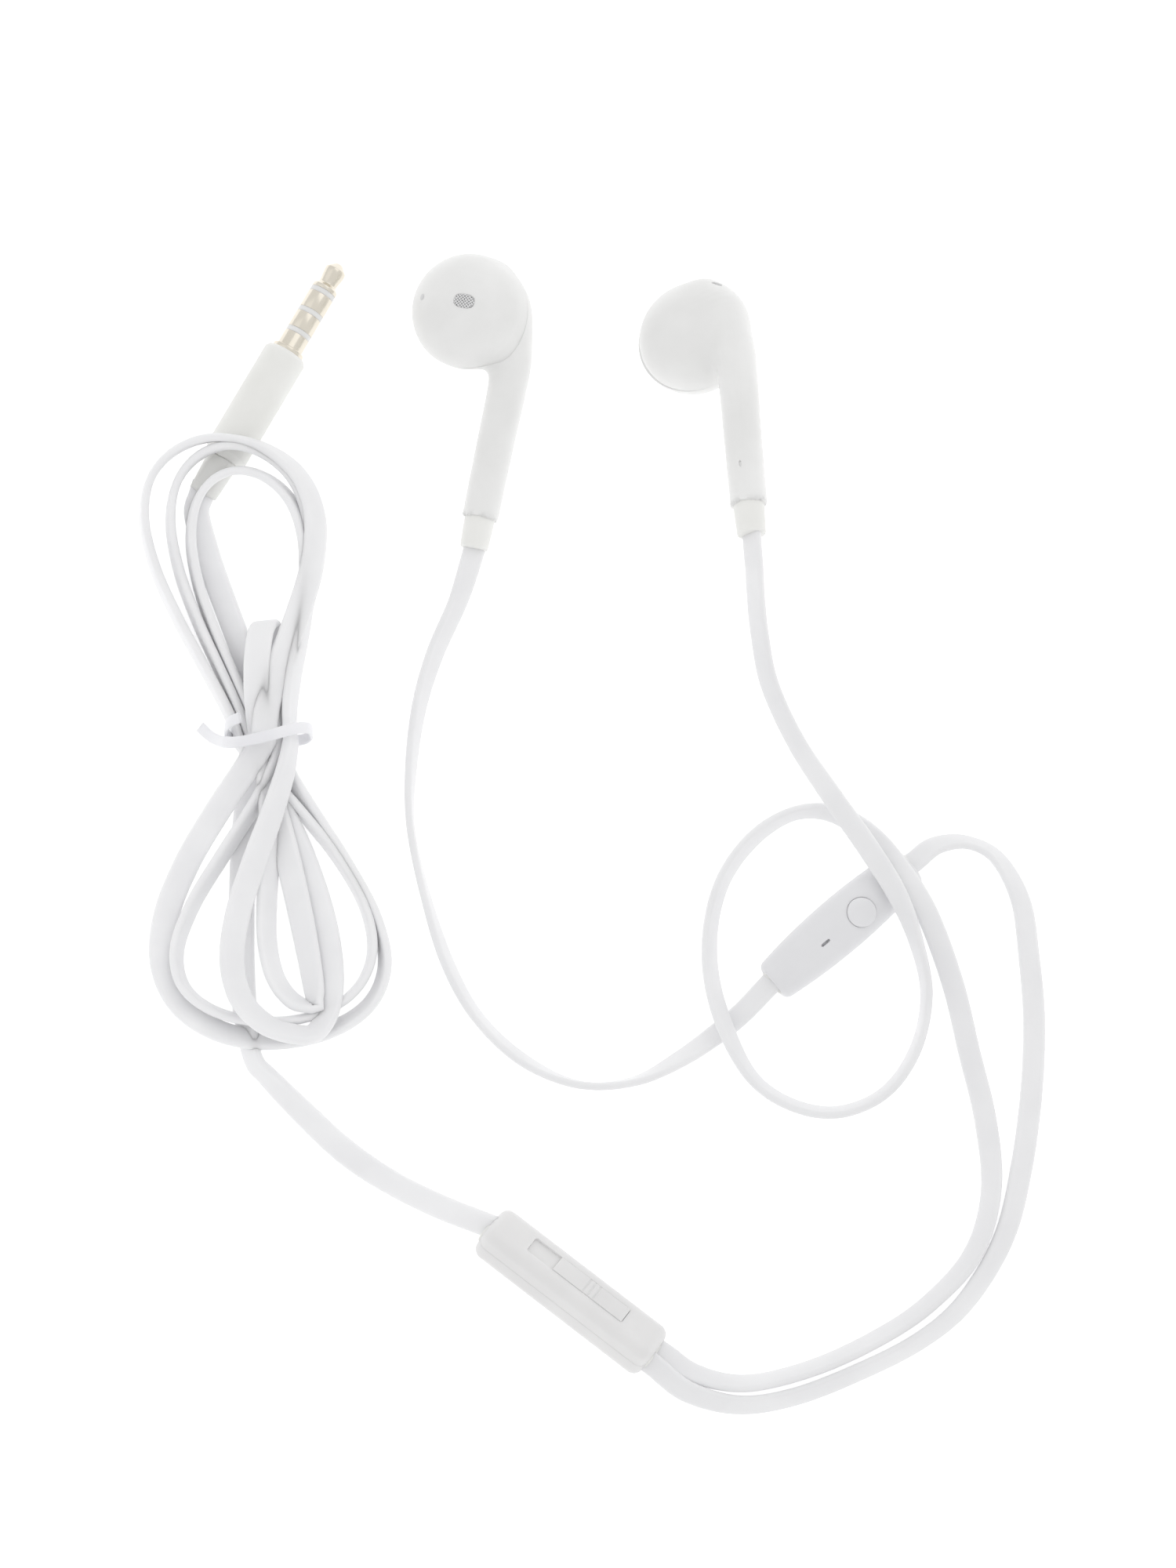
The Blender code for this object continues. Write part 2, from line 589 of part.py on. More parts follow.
def leads():
    """The four stretches of lead that aren't wound."""
    tube("right_lower_lead", RIGHT_LOWER_ROUTE, BRANCH_TUBE, "lead")
    tube("right_upper_lead", RIGHT_UPPER_ROUTE, BRANCH_TUBE, "lead")
    tube("left_lead", LEFT_ROUTE, BRANCH_TUBE, "lead")
    tube("main_lead", MAIN_ROUTE, MAIN_TUBE, "lead")


for old in list(bpy.data.objects):
    bpy.data.objects.remove(old)
PARTS = bpy.data.collections.new("wired_earphones")
CUTTERS = bpy.data.collections.new("cutters")
bpy.context.scene.collection.children.link(PARTS)
bpy.context.scene.collection.children.link(CUTTERS)

earbud("right", RIGHT_BUD, 1)
earbud("left", LEFT_BUD, -1)
remote()
volume_box()
hank(plug())
leads()
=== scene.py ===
"""The looks of a set of white wired earphones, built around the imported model.

Layout lengths are millimetres on the surface that the set lies on, and objects are in metres.
"""
import json
import math

import bmesh
import bpy
import numpy as np
from mathutils import Euler, Matrix, Vector


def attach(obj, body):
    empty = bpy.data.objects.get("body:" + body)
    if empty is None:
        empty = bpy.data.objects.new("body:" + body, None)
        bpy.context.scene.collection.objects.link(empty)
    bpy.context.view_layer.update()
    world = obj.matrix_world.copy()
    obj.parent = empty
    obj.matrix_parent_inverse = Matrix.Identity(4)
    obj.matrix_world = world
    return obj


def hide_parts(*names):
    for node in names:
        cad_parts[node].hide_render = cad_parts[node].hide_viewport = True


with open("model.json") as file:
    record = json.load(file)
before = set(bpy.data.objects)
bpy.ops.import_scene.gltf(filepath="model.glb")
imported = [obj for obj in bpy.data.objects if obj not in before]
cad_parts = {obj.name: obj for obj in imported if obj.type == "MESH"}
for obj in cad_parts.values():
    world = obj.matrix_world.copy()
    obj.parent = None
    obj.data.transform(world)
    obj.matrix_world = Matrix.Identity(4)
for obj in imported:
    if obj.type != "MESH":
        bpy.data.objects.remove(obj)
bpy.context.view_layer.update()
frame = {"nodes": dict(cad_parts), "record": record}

MM = 0.001
CENTRE = Vector((10.1, -3.1, 0))    # the frame's origin in the layout
ROOT = "earphones"

# Leads: width and thickness of the ribbons, and the radius of the tubes that hold their place.
BRANCH_W, BRANCH_T, BRANCH_TUBE_R = 2.9, 1.0, 0.925
MAIN_W, MAIN_T, MAIN_TUBE_R = 3.4, 1.1, 1.05
RING_EVERY = 0.6
LEAD_ROOT = 2.0         # how far each lead runs on inside its housing

# Where each piece lies in the layout, with its turns in degrees.
RIGHT_BUD = {"at": (-15.4, 61.9, 6.2), "roll": -10, "pitch": 3, "turn": -10.9}
LEFT_BUD = {"at": (14.1, 58.3, 7.0), "roll": -18, "pitch": -9, "turn": 4.4}
REMOTE = {"at": (32.65, -18.85, 3.0), "roll": 15, "turn": 40.5}
VOLUME_BOX = {"at": (-2.2, -65.85, 3.65), "roll": -40, "turn": -37.3}
PLUG_TIP = (-33.0, 69.5, 3.05)
PLUG_HEADING = 60.6

# Earbud: the head's half sizes, and x, y, z and radius along the middle of its stem.
HEAD_X, HEAD_Y, FRONT_DEPTH = 7.6, 7.65, 6.8
HEAD_CENTRE = (-0.25, 0.1, 0)
REAR_CENTRE = (-0.05, -0.05, 0)
REAR_SIZE = (7.45, 7.5, 5.9)
STEM_LINE = [
    (2.4, 4.8, -1.2, 1.9), (4.6, 1.6, -2.2, 2.5), (5.8, -4, -3.0, 2.66), (6.0, -9, -3.2, 2.56),
    (5.9, -16, -3.2, 2.46), (5.8, -28, -3.2, 2.36),
]
STEM_X, STEM_BACK, STEM_END = 5.8, 3.2, 26.5
COLLAR_R, COLLAR_TIP_R, COLLAR_END = 2.0, 1.85, 30.5
BLEND = 2.2             # roundness of the valley between head and stem
PORT_X, PORT_Y, PORT_DEPTH = 1.4, 0.95, 1.5
PORT_AT = (0.55, -0.2)
PORT_PITCH, VENT_PITCH = 0.3, 0.2   # between the wires of each weave
PORT_SUNK, VENT_SUNK = 0.1, 0.34    # how far each weave lies below the skin
MARK = (-5.6, 0)        # a plain dot that tells the right earbud
VENT = (4.2, 5.0, -2.9)
VENT_X, VENT_Y, VENT_DEPTH = 0.8, 0.5, 0.6
VENT_WEAVE = (0.74, 0.44)
STEM_SLOT = 21.5        # how far below the head's middle the stem's slot lies
SKIN = 0.22             # size of the faces of the earbuds' skin

REMOTE_HALF, REMOTE_END_R, REMOTE_MID_R, REMOTE_FLAT = 11.8, 2.75, 3.6, 0.78
REMOTE_EDGE = 0.9       # rounding of the remote's ends
BUTTON_X, BUTTON_R, BUTTON_TOP = 2.6, 1.9, 3.05
BUTTON_GAP = 0.08
CAP_DEPTH, WELL_DEPTH = 0.95, 1.3   # the pressed cap stays clear of its well's floor
MIC_X, MIC_HALF_L, MIC_HALF_W, MIC_DEPTH = -3.5, 0.75, 0.24, 0.8

BOX_L, BOX_W, BOX_H, BOX_EDGE = 26.2, 6.4, 5.4, 1.4
WINDOW_L, WINDOW_W, WINDOW_DEPTH = 15.0, 2.7, 0.55
BED_Z, BED_T = 2.14, 0.5            # the bed that the thumb slides over
THUMB_LOW, THUMB_HIGH, THUMB_W = -3.4, 7.44, 2.6
THUMB_Z, THUMB_T, THUMB_TRAVEL = 2.62, 0.32, 4.0
TRAVEL_SPARE, TRAVEL_SHIFT = 1.0, 6.0   # the slot below the thumb, seen from its low end
GROOVES, GROOVE_PITCH, GROOVE_Z = 3, 0.8, 2.89

PLUG_R, METAL_L, GRIP_R, GRIP_L, BOOT_L = 1.75, 14.0, 2.95, 16.7, 5.0

# Routes: x, y and z of the middle of the lead, then its roll in degrees (0 lies flat, 90 stands).
RIGHT_LOWER_ROUTE = [
    (-15, 30.6, 2.4, 0), (-17, 24, 1.9, 40), (-20, 17, 1.5, 48), (-22, 10, 1.4, 62),
    (-23, 2, 1.5, 74), (-23, -6, 1.6, 88), (-21, -15, 1.5, 77), (-18, -24, 1.4, 63),
    (-14, -31, 1.3, 66), (-8, -36.5, 1.4, 62), (-1, -39.5, 1.5, 82), (6, -39, 1.2, 75),
    (12, -36, 1, 42), (17, -32.5, 1.1, 20), (20, -30, 1.7, 8), (22.9, -27.1, 3, 4),
]
RIGHT_UPPER_ROUTE = [
    (42.4, -10.5, 3, 12), (45, -8.5, 2.2, 30), (49, -8, 1.6, 58), (53, -10, 1.3, 48),
    (56, -15.5, 1.1, 25), (57, -23, 1, 12), (57.5, -31, 1, 0), (57, -40, 1, 0), (55.5, -50, 1, 5),
    (53, -59, 1.1, 24), (48, -67, 1.3, 36), (42, -72, 1.4, 46), (34, -76, 1.5, 48),
    (26, -79, 1.6, 46), (19, -80, 1.9, 42), (12.6, -78.4, 3.3, 25), (8.5, -75.3, 4, 10),
]
LEFT_ROUTE = [
    (9.7, -73.7, 3, 10), (13.7, -76.2, 2.4, 35), (20, -77.3, 1.8, 48), (28, -75.5, 1.6, 50),
    (36, -72, 1.5, 48), (43, -67.5, 1.4, 45), (49, -61, 1.3, 40), (51.5, -53, 1, 35),
    (51, -44, 1, 5), (49, -35, 1.1, 12), (47, -26.5, 2, 12), (43.6, -18, 5.2, 6),
    (40, -12.4, 6.8, 0), (36.5, -7.8, 5.2, 10), (32, -4.5, 2.9, 50), (27, -4.2, 1.7, 72),
    (22, -7, 1.5, 60), (18, -12, 1.5, 60), (16, -18, 1.5, 58), (15.8, -25, 2, 50),
    (17.5, -32, 3.4, 45), (21, -38.5, 2, 60), (26, -42, 1.5, 62), (32, -43, 1.5, 64),
    (38, -40.5, 1.5, 68), (42, -35, 1.5, 72), (43.5, -28, 2.3, 76), (42, -21.3, 5.2, 68),
    (39.5, -15.5, 7.2, 38), (36, -9.8, 7.5, 22), (31.5, -2.8, 6.1, 30), (27, 4.5, 5, 46),
    (23.5, 12, 6.2, 46), (22.1, 18, 9.6, 48),
    (21.5, 22, 13.2, 48), (21.2, 25.1, 15.9, 47), (21, 27.1, 16.7, 46), (20.9, 28.9, 16.6, 45),
]
MAIN_ROUTE = [
    (-43, -36, 1.9, 52), (-41, -38.5, 1.5, 45), (-37, -42.5, 1.3, 28), (-31, -48, 1.2, 12),
    (-25, -52, 1.3, 28), (-19, -55, 2.4, 28), (-13.5, -57.2, 3.5, 33),
]

# The hank: the lead passes under the tie again and again, and swings through a loop in between.
TIE_AT = (-41.3, 5.1)
POINTS_PER_LOOP = 18
# Each pass: how far beside the tie's middle, its height and its roll.
PASSES = [
    (-2.4, 0.9, 8), (-0.9, 5.2, 8), (-1.6, 2.5, 72), (2.9, 5.6, 80), (-2.9, 2.5, 76),
    (1.5, 4.4, 82), (-4.1, 2.6, 78), (-0.4, 6.9, 10), (0.5, 2.3, 40),
]
# Each loop after the hairpin: which way it goes, how far, its half widths to the left and right
# of its own axis, how far that axis leans, how long each side stays pinched near the tie, then
# heights and rolls at its left side, far end and right side.
LOOPS = [
    {"way": -1, "reach": 35.0, "left": 4.8, "right": 0.3, "lean": 6.4, "pinch": (3, 2),
     "heights": (2.7, 3.8, 2.6), "rolls": (50, 58, 8)},
    {"way": 1, "reach": 35.4, "left": 7.4, "right": 7.4, "lean": -4.3, "pinch": (1.6, 2),
     "heights": (2.2, 6.4, 3.2), "rolls": (74, 76, 58)},
    {"way": -1, "reach": 38.6, "left": 8.4, "right": 4.6, "lean": 5.2, "pinch": (2.4, 1.2),
     "heights": (5.3, 5.6, 1.9), "rolls": (22, 44, 6)},
    {"way": 1, "reach": 38.4, "left": 9.2, "right": 9.0, "lean": -5.4, "pinch": (1.6, 2.2),
     "heights": (1.9, 7.6, 2.4), "rolls": (76, 80, 46)},
    {"way": -1, "reach": 36.6, "left": 12.2, "right": 13.4, "lean": 0.6, "pinch": (2.4, 1.4),
     "heights": (2.6, 3.0, 1.9), "rolls": (74, 78, 80)},
    {"way": 1, "reach": 39.4, "left": 11.4, "right": 10.9, "lean": -7.0, "pinch": (1.6, 2.2),
     "heights": (1.8, 8.0, 4.2), "rolls": (76, 78, 24)},
    {"way": -1, "reach": 38.9, "left": 13.9, "right": 14.8, "lean": 0.4, "pinch": (1.3, 1.8),
     "heights": (2.2, 2.4, 1.9), "rolls": (8, 44, 78)},
]
HAIRPIN = [
    (-1.6, 5, 1.0, 6), (-0.6, 10, 1.2, 4), (-0.1, 13.4, 1.9, 0), (-0.5, 15.3, 3.7, 0),
    (-1.2, 14, 5.6, 0), (-1.6, 10, 6.0, 3), (-1.5, 5, 5.8, 6),
]
UNDER_HANK_ROUTE = [
    (-44.3, -29, 0.8, 20), (-44.8, -20, 0.7, 8), (-44.8, -10, 0.7, 5), (-44.3, -2, 0.8, 8),
]
TO_PLUG_ROUTE = [
    (-43.2, 12, 2.0, 34), (-46.2, 20, 1.7, 22), (-49.2, 28, 2.0, 12), (-50.9, 33.4, 2.7, 4),
    (-51.4, 36, 3.0, 0), (-50.9, 37.7, 3.05, 0),
]
TIE_W, TIE_T = 1.5, 0.45
# The tie from its tail over the hank, round it and back, beside the tie's middle.
TIE_ROUTE = [
    (-9.3, 2.3, 0.9), (-8.0, 1.0, 1.6), (-6.6, 0.0, 3.4), (-5.4, -0.7, 6.2), (-3.4, -1.0, 8.1),
    (0, -0.4, 8.7), (3.2, 0.6, 8.3), (5.0, 1.1, 6.6), (5.4, 1.1, 4.2), (5.0, 0.9, 1.6),
    (3.2, 0.6, 0.35), (-3.2, 0.2, 0.35), (-5.0, 0.5, 1.6), (-5.6, 1.1, 4.4), (-4.9, 1.7, 7.2),
    (-3.4, 2.1, 8.6),
]

CAMERA_TILT = 10
CAMERA_FAR = 0.5
CAMERA_LENS = 88
SKY_LIGHT = 0.87
FLOOR_LIGHT = 0.38
# Each lamp: its name, its place and size in metres, and its power.
LAMPS = [
    ("key_light", (0.35, 0.4, 0.6), 0.6, 0.45),
    ("fill_light", (-0.5, 0.1, 0.6), 0.7, 0.2),
]
FINE_GRAIN = 9000       # scale of the finest noise in the finishes
LIGHT_DEPTH = 0.0008    # how deep light goes into the plastics, in metres


# ---------------------------------------------------------------- helpers

def place(x, y, z):
    """A layout point in the frame, in metres."""
    return (Vector((x, y, z)) - CENTRE) * MM


def new_object(name, mesh, finish=None):
    """A smooth mesh object in the scene, with its material."""
    made = bpy.data.objects.new(name, mesh)
    bpy.context.scene.collection.objects.link(made)
    if finish:
        mesh.materials.append(finish)
    mesh.shade_smooth()
    return made


def spline(rows, spacing):
    """Rows of numbers on a smooth curve through the given ones, evenly spaced in x, y and z."""
    rows = np.array(rows, float)
    wide = np.vstack([2 * rows[0] - rows[1], rows, 2 * rows[-1] - rows[-2]])
    fine = []
    for a, b, c, d in zip(wide, wide[1:], wide[2:], wide[3:]):
        for t in np.arange(16) / 16:
            fine.append(0.5 * (2 * b + (c - a) * t + (2 * a - 5 * b + 4 * c - d) * t ** 2
                               + (3 * b - a - 3 * c + d) * t ** 3))
    fine = np.array(fine + [rows[-1]])
    steps = np.linalg.norm(np.diff(fine[:, :3], axis=0), axis=1)
    along = np.concatenate([[0], np.cumsum(steps)])
    at = np.linspace(0, along[-1], max(2, int(along[-1] / spacing) + 1))
    return np.stack([np.interp(at, along, column) for column in fine.T], axis=1)


def softened(values, window):
    """The values averaged with their neighbours, with the ends held."""
    wide = np.pad(values, [(window, window)] + [(0, 0)] * (values.ndim - 1), mode="edge")
    total = sum(wide[k:k + len(values)] for k in range(2 * window + 1))
    return total / (2 * window + 1)


def unit(vectors):
    """The vectors at length one."""
    return vectors / np.maximum(np.linalg.norm(vectors, axis=-1, keepdims=True), 1e-12)


def stadium(width, thickness, per_end=7):
    """The section of a ribbon: two flats joined by round edges."""
    flat = (width - thickness) / 2
    corners = []
    for side in (1, -1):
        for angle in np.linspace(-math.pi / 2, math.pi / 2, per_end):
            corners.append((side * (flat + thickness / 2 * math.cos(angle)),
                            side * thickness / 2 * math.sin(angle)))
    return corners


def swept(name, middle, across, section, finish):
    """A section carried along a line, its first axis kept along the given directions."""
    ahead = unit(np.gradient(middle, axis=0))
    across = unit(across - ahead * (across * ahead).sum(1)[:, None])
    through = np.cross(ahead, across)
    count = len(section)
    points = np.stack([middle + a * across + b * through for a, b in section], axis=1)
    return skinned(name, points.reshape(-1, 3), count, finish)


def skinned(name, points, count, finish):
    """A closed skin over rings of points, given one ring after the other."""
    rings = len(points) // count
    faces = [tuple(range(count))[::-1]]
    for k in range(rings - 1):
        for j in range(count):
            here = k * count + j
            following = k * count + (j + 1) % count
            faces.append((here, following, following + count, here + count))
    faces.append(tuple(range((rings - 1) * count, rings * count)))
    mesh = bpy.data.meshes.new(name)
    mesh.from_pydata(np.asarray(points).tolist(), [], faces)
    return new_object(name, mesh, finish)


def ribbon(name, rows, width, thickness, finish):
    """A flat lead swept along rows of x, y, z and roll. Returns it and its path in metres."""
    rows = np.array(rows, float)
    root = [2 * rows[0] - rows[1], 2 * rows[-1] - rows[-2]]
    for end, out in ((rows[0], root[0]), (rows[-1], root[1])):
        out[:3] = end[:3] + unit(out[:3] - end[:3]) * LEAD_ROOT
        out[3] = end[3]
    rows = spline(np.vstack([root[0], rows, root[1]]), RING_EVERY)
    rise = (width - thickness) / 2 * np.abs(np.sin(np.radians(rows[:, 3])))
    rows[:, 2] = np.maximum(rows[:, 2], thickness / 2 + rise + 0.03)
    middle = rows[:, :3]
    ahead = unit(np.gradient(middle, axis=0))
    beside = unit(np.cross(ahead, (0, 0, 1)))
    above = np.cross(beside, ahead)
    roll = np.radians(rows[:, 3])[:, None]
    across = beside * np.cos(roll) + above * np.sin(roll)
    for k in range(1, len(across)):
        if abs(ahead[k, 2]) > 0.75:
            across[k] = across[k - 1]
        if across[k] @ across[k - 1] < 0:
            across[k] = -across[k]
    made = swept(name, middle, softened(across, 4), stadium(width, thickness), finish)
    settle(made, Matrix.Scale(MM, 4) @ Matrix.Translation(-CENTRE))
    return made, ((middle - np.array(CENTRE)) * MM).tolist()


def settle(made, matrix):
    """Moves a piece's mesh to its place, with its faces outwards."""
    made.data.transform(matrix)
    bm = bmesh.new()
    bm.from_mesh(made.data)
    bmesh.ops.recalc_face_normals(bm, faces=bm.faces[:])
    bm.to_mesh(made.data)
    bm.free()
    return made


def piece(made, body, slot, matrix=None, *nodes):
    """Settles a piece, ties it to its body and hides the nodes it stands for."""
    if matrix:
        settle(made, matrix)
    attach(made, body)
    if nodes:
        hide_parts(*nodes)
    return made


def frame_of(spec):
    """From a piece's own millimetres to its place in the frame."""
    turns = [math.radians(spec.get(key, 0)) for key in ("pitch", "roll", "turn")]
    if "pitch" in spec:
        facing = Euler(turns, "YXZ")
    else:
        facing = Euler((turns[1], 0, turns[2]), "XYZ")
    return (Matrix.Translation(place(*spec["at"])) @ facing.to_matrix().to_4x4()
            @ Matrix.Scale(MM, 4))


def applied(made):
    """Fixes a piece's modifiers into its mesh."""
    graph = bpy.context.evaluated_depsgraph_get()
    mesh = bpy.data.meshes.new_from_object(made.evaluated_get(graph))
    made.modifiers.clear()
    made.data = mesh
    return made


def softened_edges(made, width, segments=3, angle=30):
    """Rounds a piece's sharp edges and shades the rest smooth."""
    bevel = made.modifiers.new("bevel", "BEVEL")
    bevel.width = width
    bevel.segments = segments
    bevel.limit_method = "ANGLE"
    bevel.angle_limit = math.radians(angle)
    applied(made)
    made.data.shade_smooth()
    made.data.set_sharp_from_angle(angle=math.radians(50))
    return made


def turned(name, outline, finish, edge=0.06, steps=72):
    """A solid turned about its own Z axis from radii and heights, with soft edges."""
    bm = bmesh.new()
    points = [bm.verts.new((radius, 0, height)) for radius, height in outline]
    line = [bm.edges.new(pair) for pair in zip(points, points[1:])]
    bmesh.ops.spin(bm, geom=points + line, cent=(0, 0, 0), axis=(0, 0, 1), steps=steps,
                   angle=math.tau)
    bmesh.ops.remove_doubles(bm, verts=bm.verts[:], dist=1e-4)
    bmesh.ops.recalc_face_normals(bm, faces=bm.faces[:])
    mesh = bpy.data.meshes.new(name)
    bm.to_mesh(mesh)
    bm.free()
    made = new_object(name, mesh, finish)
    return softened_edges(made, edge) if edge else made


def block(name, size, centre, edge, segments, finish=None):
    """A block with rounded edges."""
    bm = bmesh.new()
    bmesh.ops.create_cube(bm, size=1)
    bmesh.ops.scale(bm, vec=size, verts=bm.verts)
    bmesh.ops.bevel(bm, geom=bm.edges[:], offset=edge, segments=segments, profile=0.5,
                    affect="EDGES")
    bmesh.ops.translate(bm, vec=centre, verts=bm.verts)
    mesh = bpy.data.meshes.new(name)
    bm.to_mesh(mesh)
    bm.free()
    return new_object(name, mesh, finish)


def cut(made, cutter):
    """Takes one solid out of another."""
    tool = made.modifiers.new("cut", "BOOLEAN")
    tool.operation = "DIFFERENCE"
    tool.solver = "EXACT"
    tool.object = cutter
    applied(made)
    bpy.data.objects.remove(cutter)


def halved(name, mesh, way, lip, finish):
    """One side of a closed mesh, cut at its middle plane, with a chamfered lip at the cut."""
    bm = bmesh.new()
    bm.from_mesh(mesh)
    bmesh.ops.bisect_plane(bm, geom=bm.verts[:] + bm.edges[:] + bm.faces[:],
                           plane_co=(0, 0, way * lip), plane_no=(0, 0, way), clear_inner=True)
    bm.normal_update()
    rim = [edge for edge in bm.edges if edge.is_boundary]
    facing = {tuple(round(c, 4) for c in vert.co): vert.normal.copy()
              for edge in rim for vert in edge.verts}
    grown = bmesh.ops.extrude_edge_only(bm, edges=rim)["geom"]
    for vert in grown:
        if isinstance(vert, bmesh.types.BMVert):
            normal = facing[tuple(round(c, 4) for c in vert.co)]
            vert.co -= Vector((normal.x, normal.y, 0)) * lip
            vert.co.z = 0
    bmesh.ops.edgeloop_fill(bm, edges=[edge for edge in bm.edges if edge.is_boundary])
    bmesh.ops.recalc_face_normals(bm, faces=bm.faces[:])
    half = bpy.data.meshes.new(name)
    bm.to_mesh(half)
    bm.free()
    made = new_object(name, half, finish)
    half.set_sharp_from_angle(angle=math.radians(35))
    return made


def punched(made, centre, across, along, half_a, half_b, depth, rim=0.12, corner=2.0):
    """Opens an oval hole in a fine skin and turns its rim inwards to a closed well."""
    centre, across, along = Vector(centre), Vector(across), Vector(along)
    out = across.cross(along)
    bm = bmesh.new()
    bm.from_mesh(made.data)

    def flat(point):
        offset = point - centre
        return offset.dot(across), offset.dot(along)

    def reach(a, b):
        return (abs(a / half_a) ** corner + abs(b / half_b) ** corner) ** (1 / corner)

    inside = [face for face in bm.faces
              if face.normal.dot(out) > 0.2 and reach(*flat(face.calc_center_median())) < 1
              and abs((face.calc_center_median() - centre).dot(out)) < 2]
    bmesh.ops.delete(bm, geom=inside, context="FACES")
    edges = [edge for edge in bm.edges if edge.is_boundary]
    for vert in {vert for edge in edges for vert in edge.verts}:
        a, b = flat(vert.co)
        grow = 1 / reach(a, b) - 1
        vert.co += (across * a + along * b) * grow
    bends = [(rim * (1 - math.cos(turn)), rim * math.sin(turn)) for turn in (0.5, 1.05, 1.57)]
    levels = [(0, 0)] + bends + [(rim, depth)]
    for (inset_0, deep_0), (inset_1, deep_1) in zip(levels, levels[1:]):
        grown = bmesh.ops.extrude_edge_only(bm, edges=edges)["geom"]
        for vert in grown:
            if isinstance(vert, bmesh.types.BMVert):
                a, b = flat(vert.co)
                inwards = -(across * a + along * b).normalized()
                vert.co += inwards * (inset_1 - inset_0) - out * (deep_1 - deep_0)
        edges = [edge for edge in grown if isinstance(edge, bmesh.types.BMEdge)]
    bmesh.ops.edgeloop_fill(bm, edges=edges)
    bmesh.ops.recalc_face_normals(bm, faces=bm.faces[:])
    bm.to_mesh(made.data)
    bm.free()
    made.data.shade_smooth()
    made.data.set_sharp_from_angle(angle=math.radians(50))


def laid(route, width, thickness, tube_radius):
    """A route whose low stretches rest on the surface: a rolled ribbon stands higher."""
    rested = []
    for x, y, z, roll in route:
        rest = thickness / 2 + (width - thickness) / 2 * abs(math.sin(math.radians(roll)))
        share = min(max((3.0 - z) / 1.2, 0), 1)
        rested.append((x, y, z + (rest - tube_radius) * share, roll))
    return rested


# ---------------------------------------------------------------- materials

def shader_material(name, colour, roughness, metallic=0.0, coat=0.0, subsurface=0.0):
    """A Principled material, its node tree and its shader."""
    made = bpy.data.materials.new(name)
    made.use_nodes = True
    tree = made.node_tree
    shader = tree.nodes["Principled BSDF"]
    shader.inputs["Base Color"].default_value = (*colour, 1)
    shader.inputs["Roughness"].default_value = roughness
    shader.inputs["Metallic"].default_value = metallic
    shader.inputs["Coat Weight"].default_value = coat
    shader.inputs["Coat Roughness"].default_value = 0.12
    shader.inputs["Specular IOR Level"].default_value = 0.3 if subsurface else 0.5
    shader.inputs["Subsurface Weight"].default_value = subsurface
    shader.inputs["Subsurface Radius"].default_value = (1, 1, 1)
    shader.inputs["Subsurface Scale"].default_value = LIGHT_DEPTH
    return made, tree, shader


def noise(tree, scale, detail):
    """The grey value of a noise over the object's own coordinates."""
    where = tree.nodes.new("ShaderNodeTexCoord")
    texture = tree.nodes.new("ShaderNodeTexNoise")
    texture.inputs["Scale"].default_value = scale
    texture.inputs["Detail"].default_value = detail
    tree.links.new(where.outputs["Object"], texture.inputs["Vector"])
    return texture.outputs["Fac"]


def ranged(tree, value, low, high):
    """A grey value spread between two numbers."""
    node = tree.nodes.new("ShaderNodeMapRange")
    node.inputs["To Min"].default_value = low
    node.inputs["To Max"].default_value = high
    tree.links.new(value, node.inputs["Value"])
    return node.outputs["Result"]


def tinted(tree, value, dark, light):
    """A colour between two, by a grey value."""
    ramp = tree.nodes.new("ShaderNodeValToRGB")
    ramp.color_ramp.elements[0].position = 0.35
    ramp.color_ramp.elements[0].color = (*dark, 1)
    ramp.color_ramp.elements[1].position = 0.65
    ramp.color_ramp.elements[1].color = (*light, 1)
    tree.links.new(value, ramp.inputs["Fac"])
    return ramp.outputs["Color"]


def bump(tree, shader, value, strength, distance):
    """Relief on the surface from a grey value."""
    node = tree.nodes.new("ShaderNodeBump")
    node.inputs["Strength"].default_value = strength
    node.inputs["Distance"].default_value = distance
    tree.links.new(value, node.inputs["Height"])
    tree.links.new(node.outputs["Normal"], shader.inputs["Normal"])


def plastic(name, dark, light, rough_low, rough_high, coat=0.0, relief=0.12, subsurface=0.25):
    """Moulded plastic: faint clouds of colour, uneven gloss and a fine grain."""
    made, tree, shader = shader_material(name, light, rough_low, coat=coat,
                                         subsurface=subsurface)
    clouds = noise(tree, 120, 4)
    tree.links.new(tinted(tree, clouds, dark, light), shader.inputs["Base Color"])
    smears = noise(tree, 420, 5)
    tree.links.new(ranged(tree, smears, rough_low, rough_high), shader.inputs["Roughness"])
    bump(tree, shader, noise(tree, FINE_GRAIN, 4), relief, 0.00002)
    return made


def metal(name, dark, light, rough_low, rough_high, scale=900):
    """Worked metal: uneven polish and fine marks."""
    made, tree, shader = shader_material(name, light, rough_low, metallic=1.0)
    marks = noise(tree, scale, 4)
    tree.links.new(ranged(tree, marks, rough_low, rough_high), shader.inputs["Roughness"])
    tree.links.new(tinted(tree, noise(tree, scale / 6, 3), dark, light),
                   shader.inputs["Base Color"])
    bump(tree, shader, noise(tree, FINE_GRAIN, 3), 0.04, 0.00001)
    return made


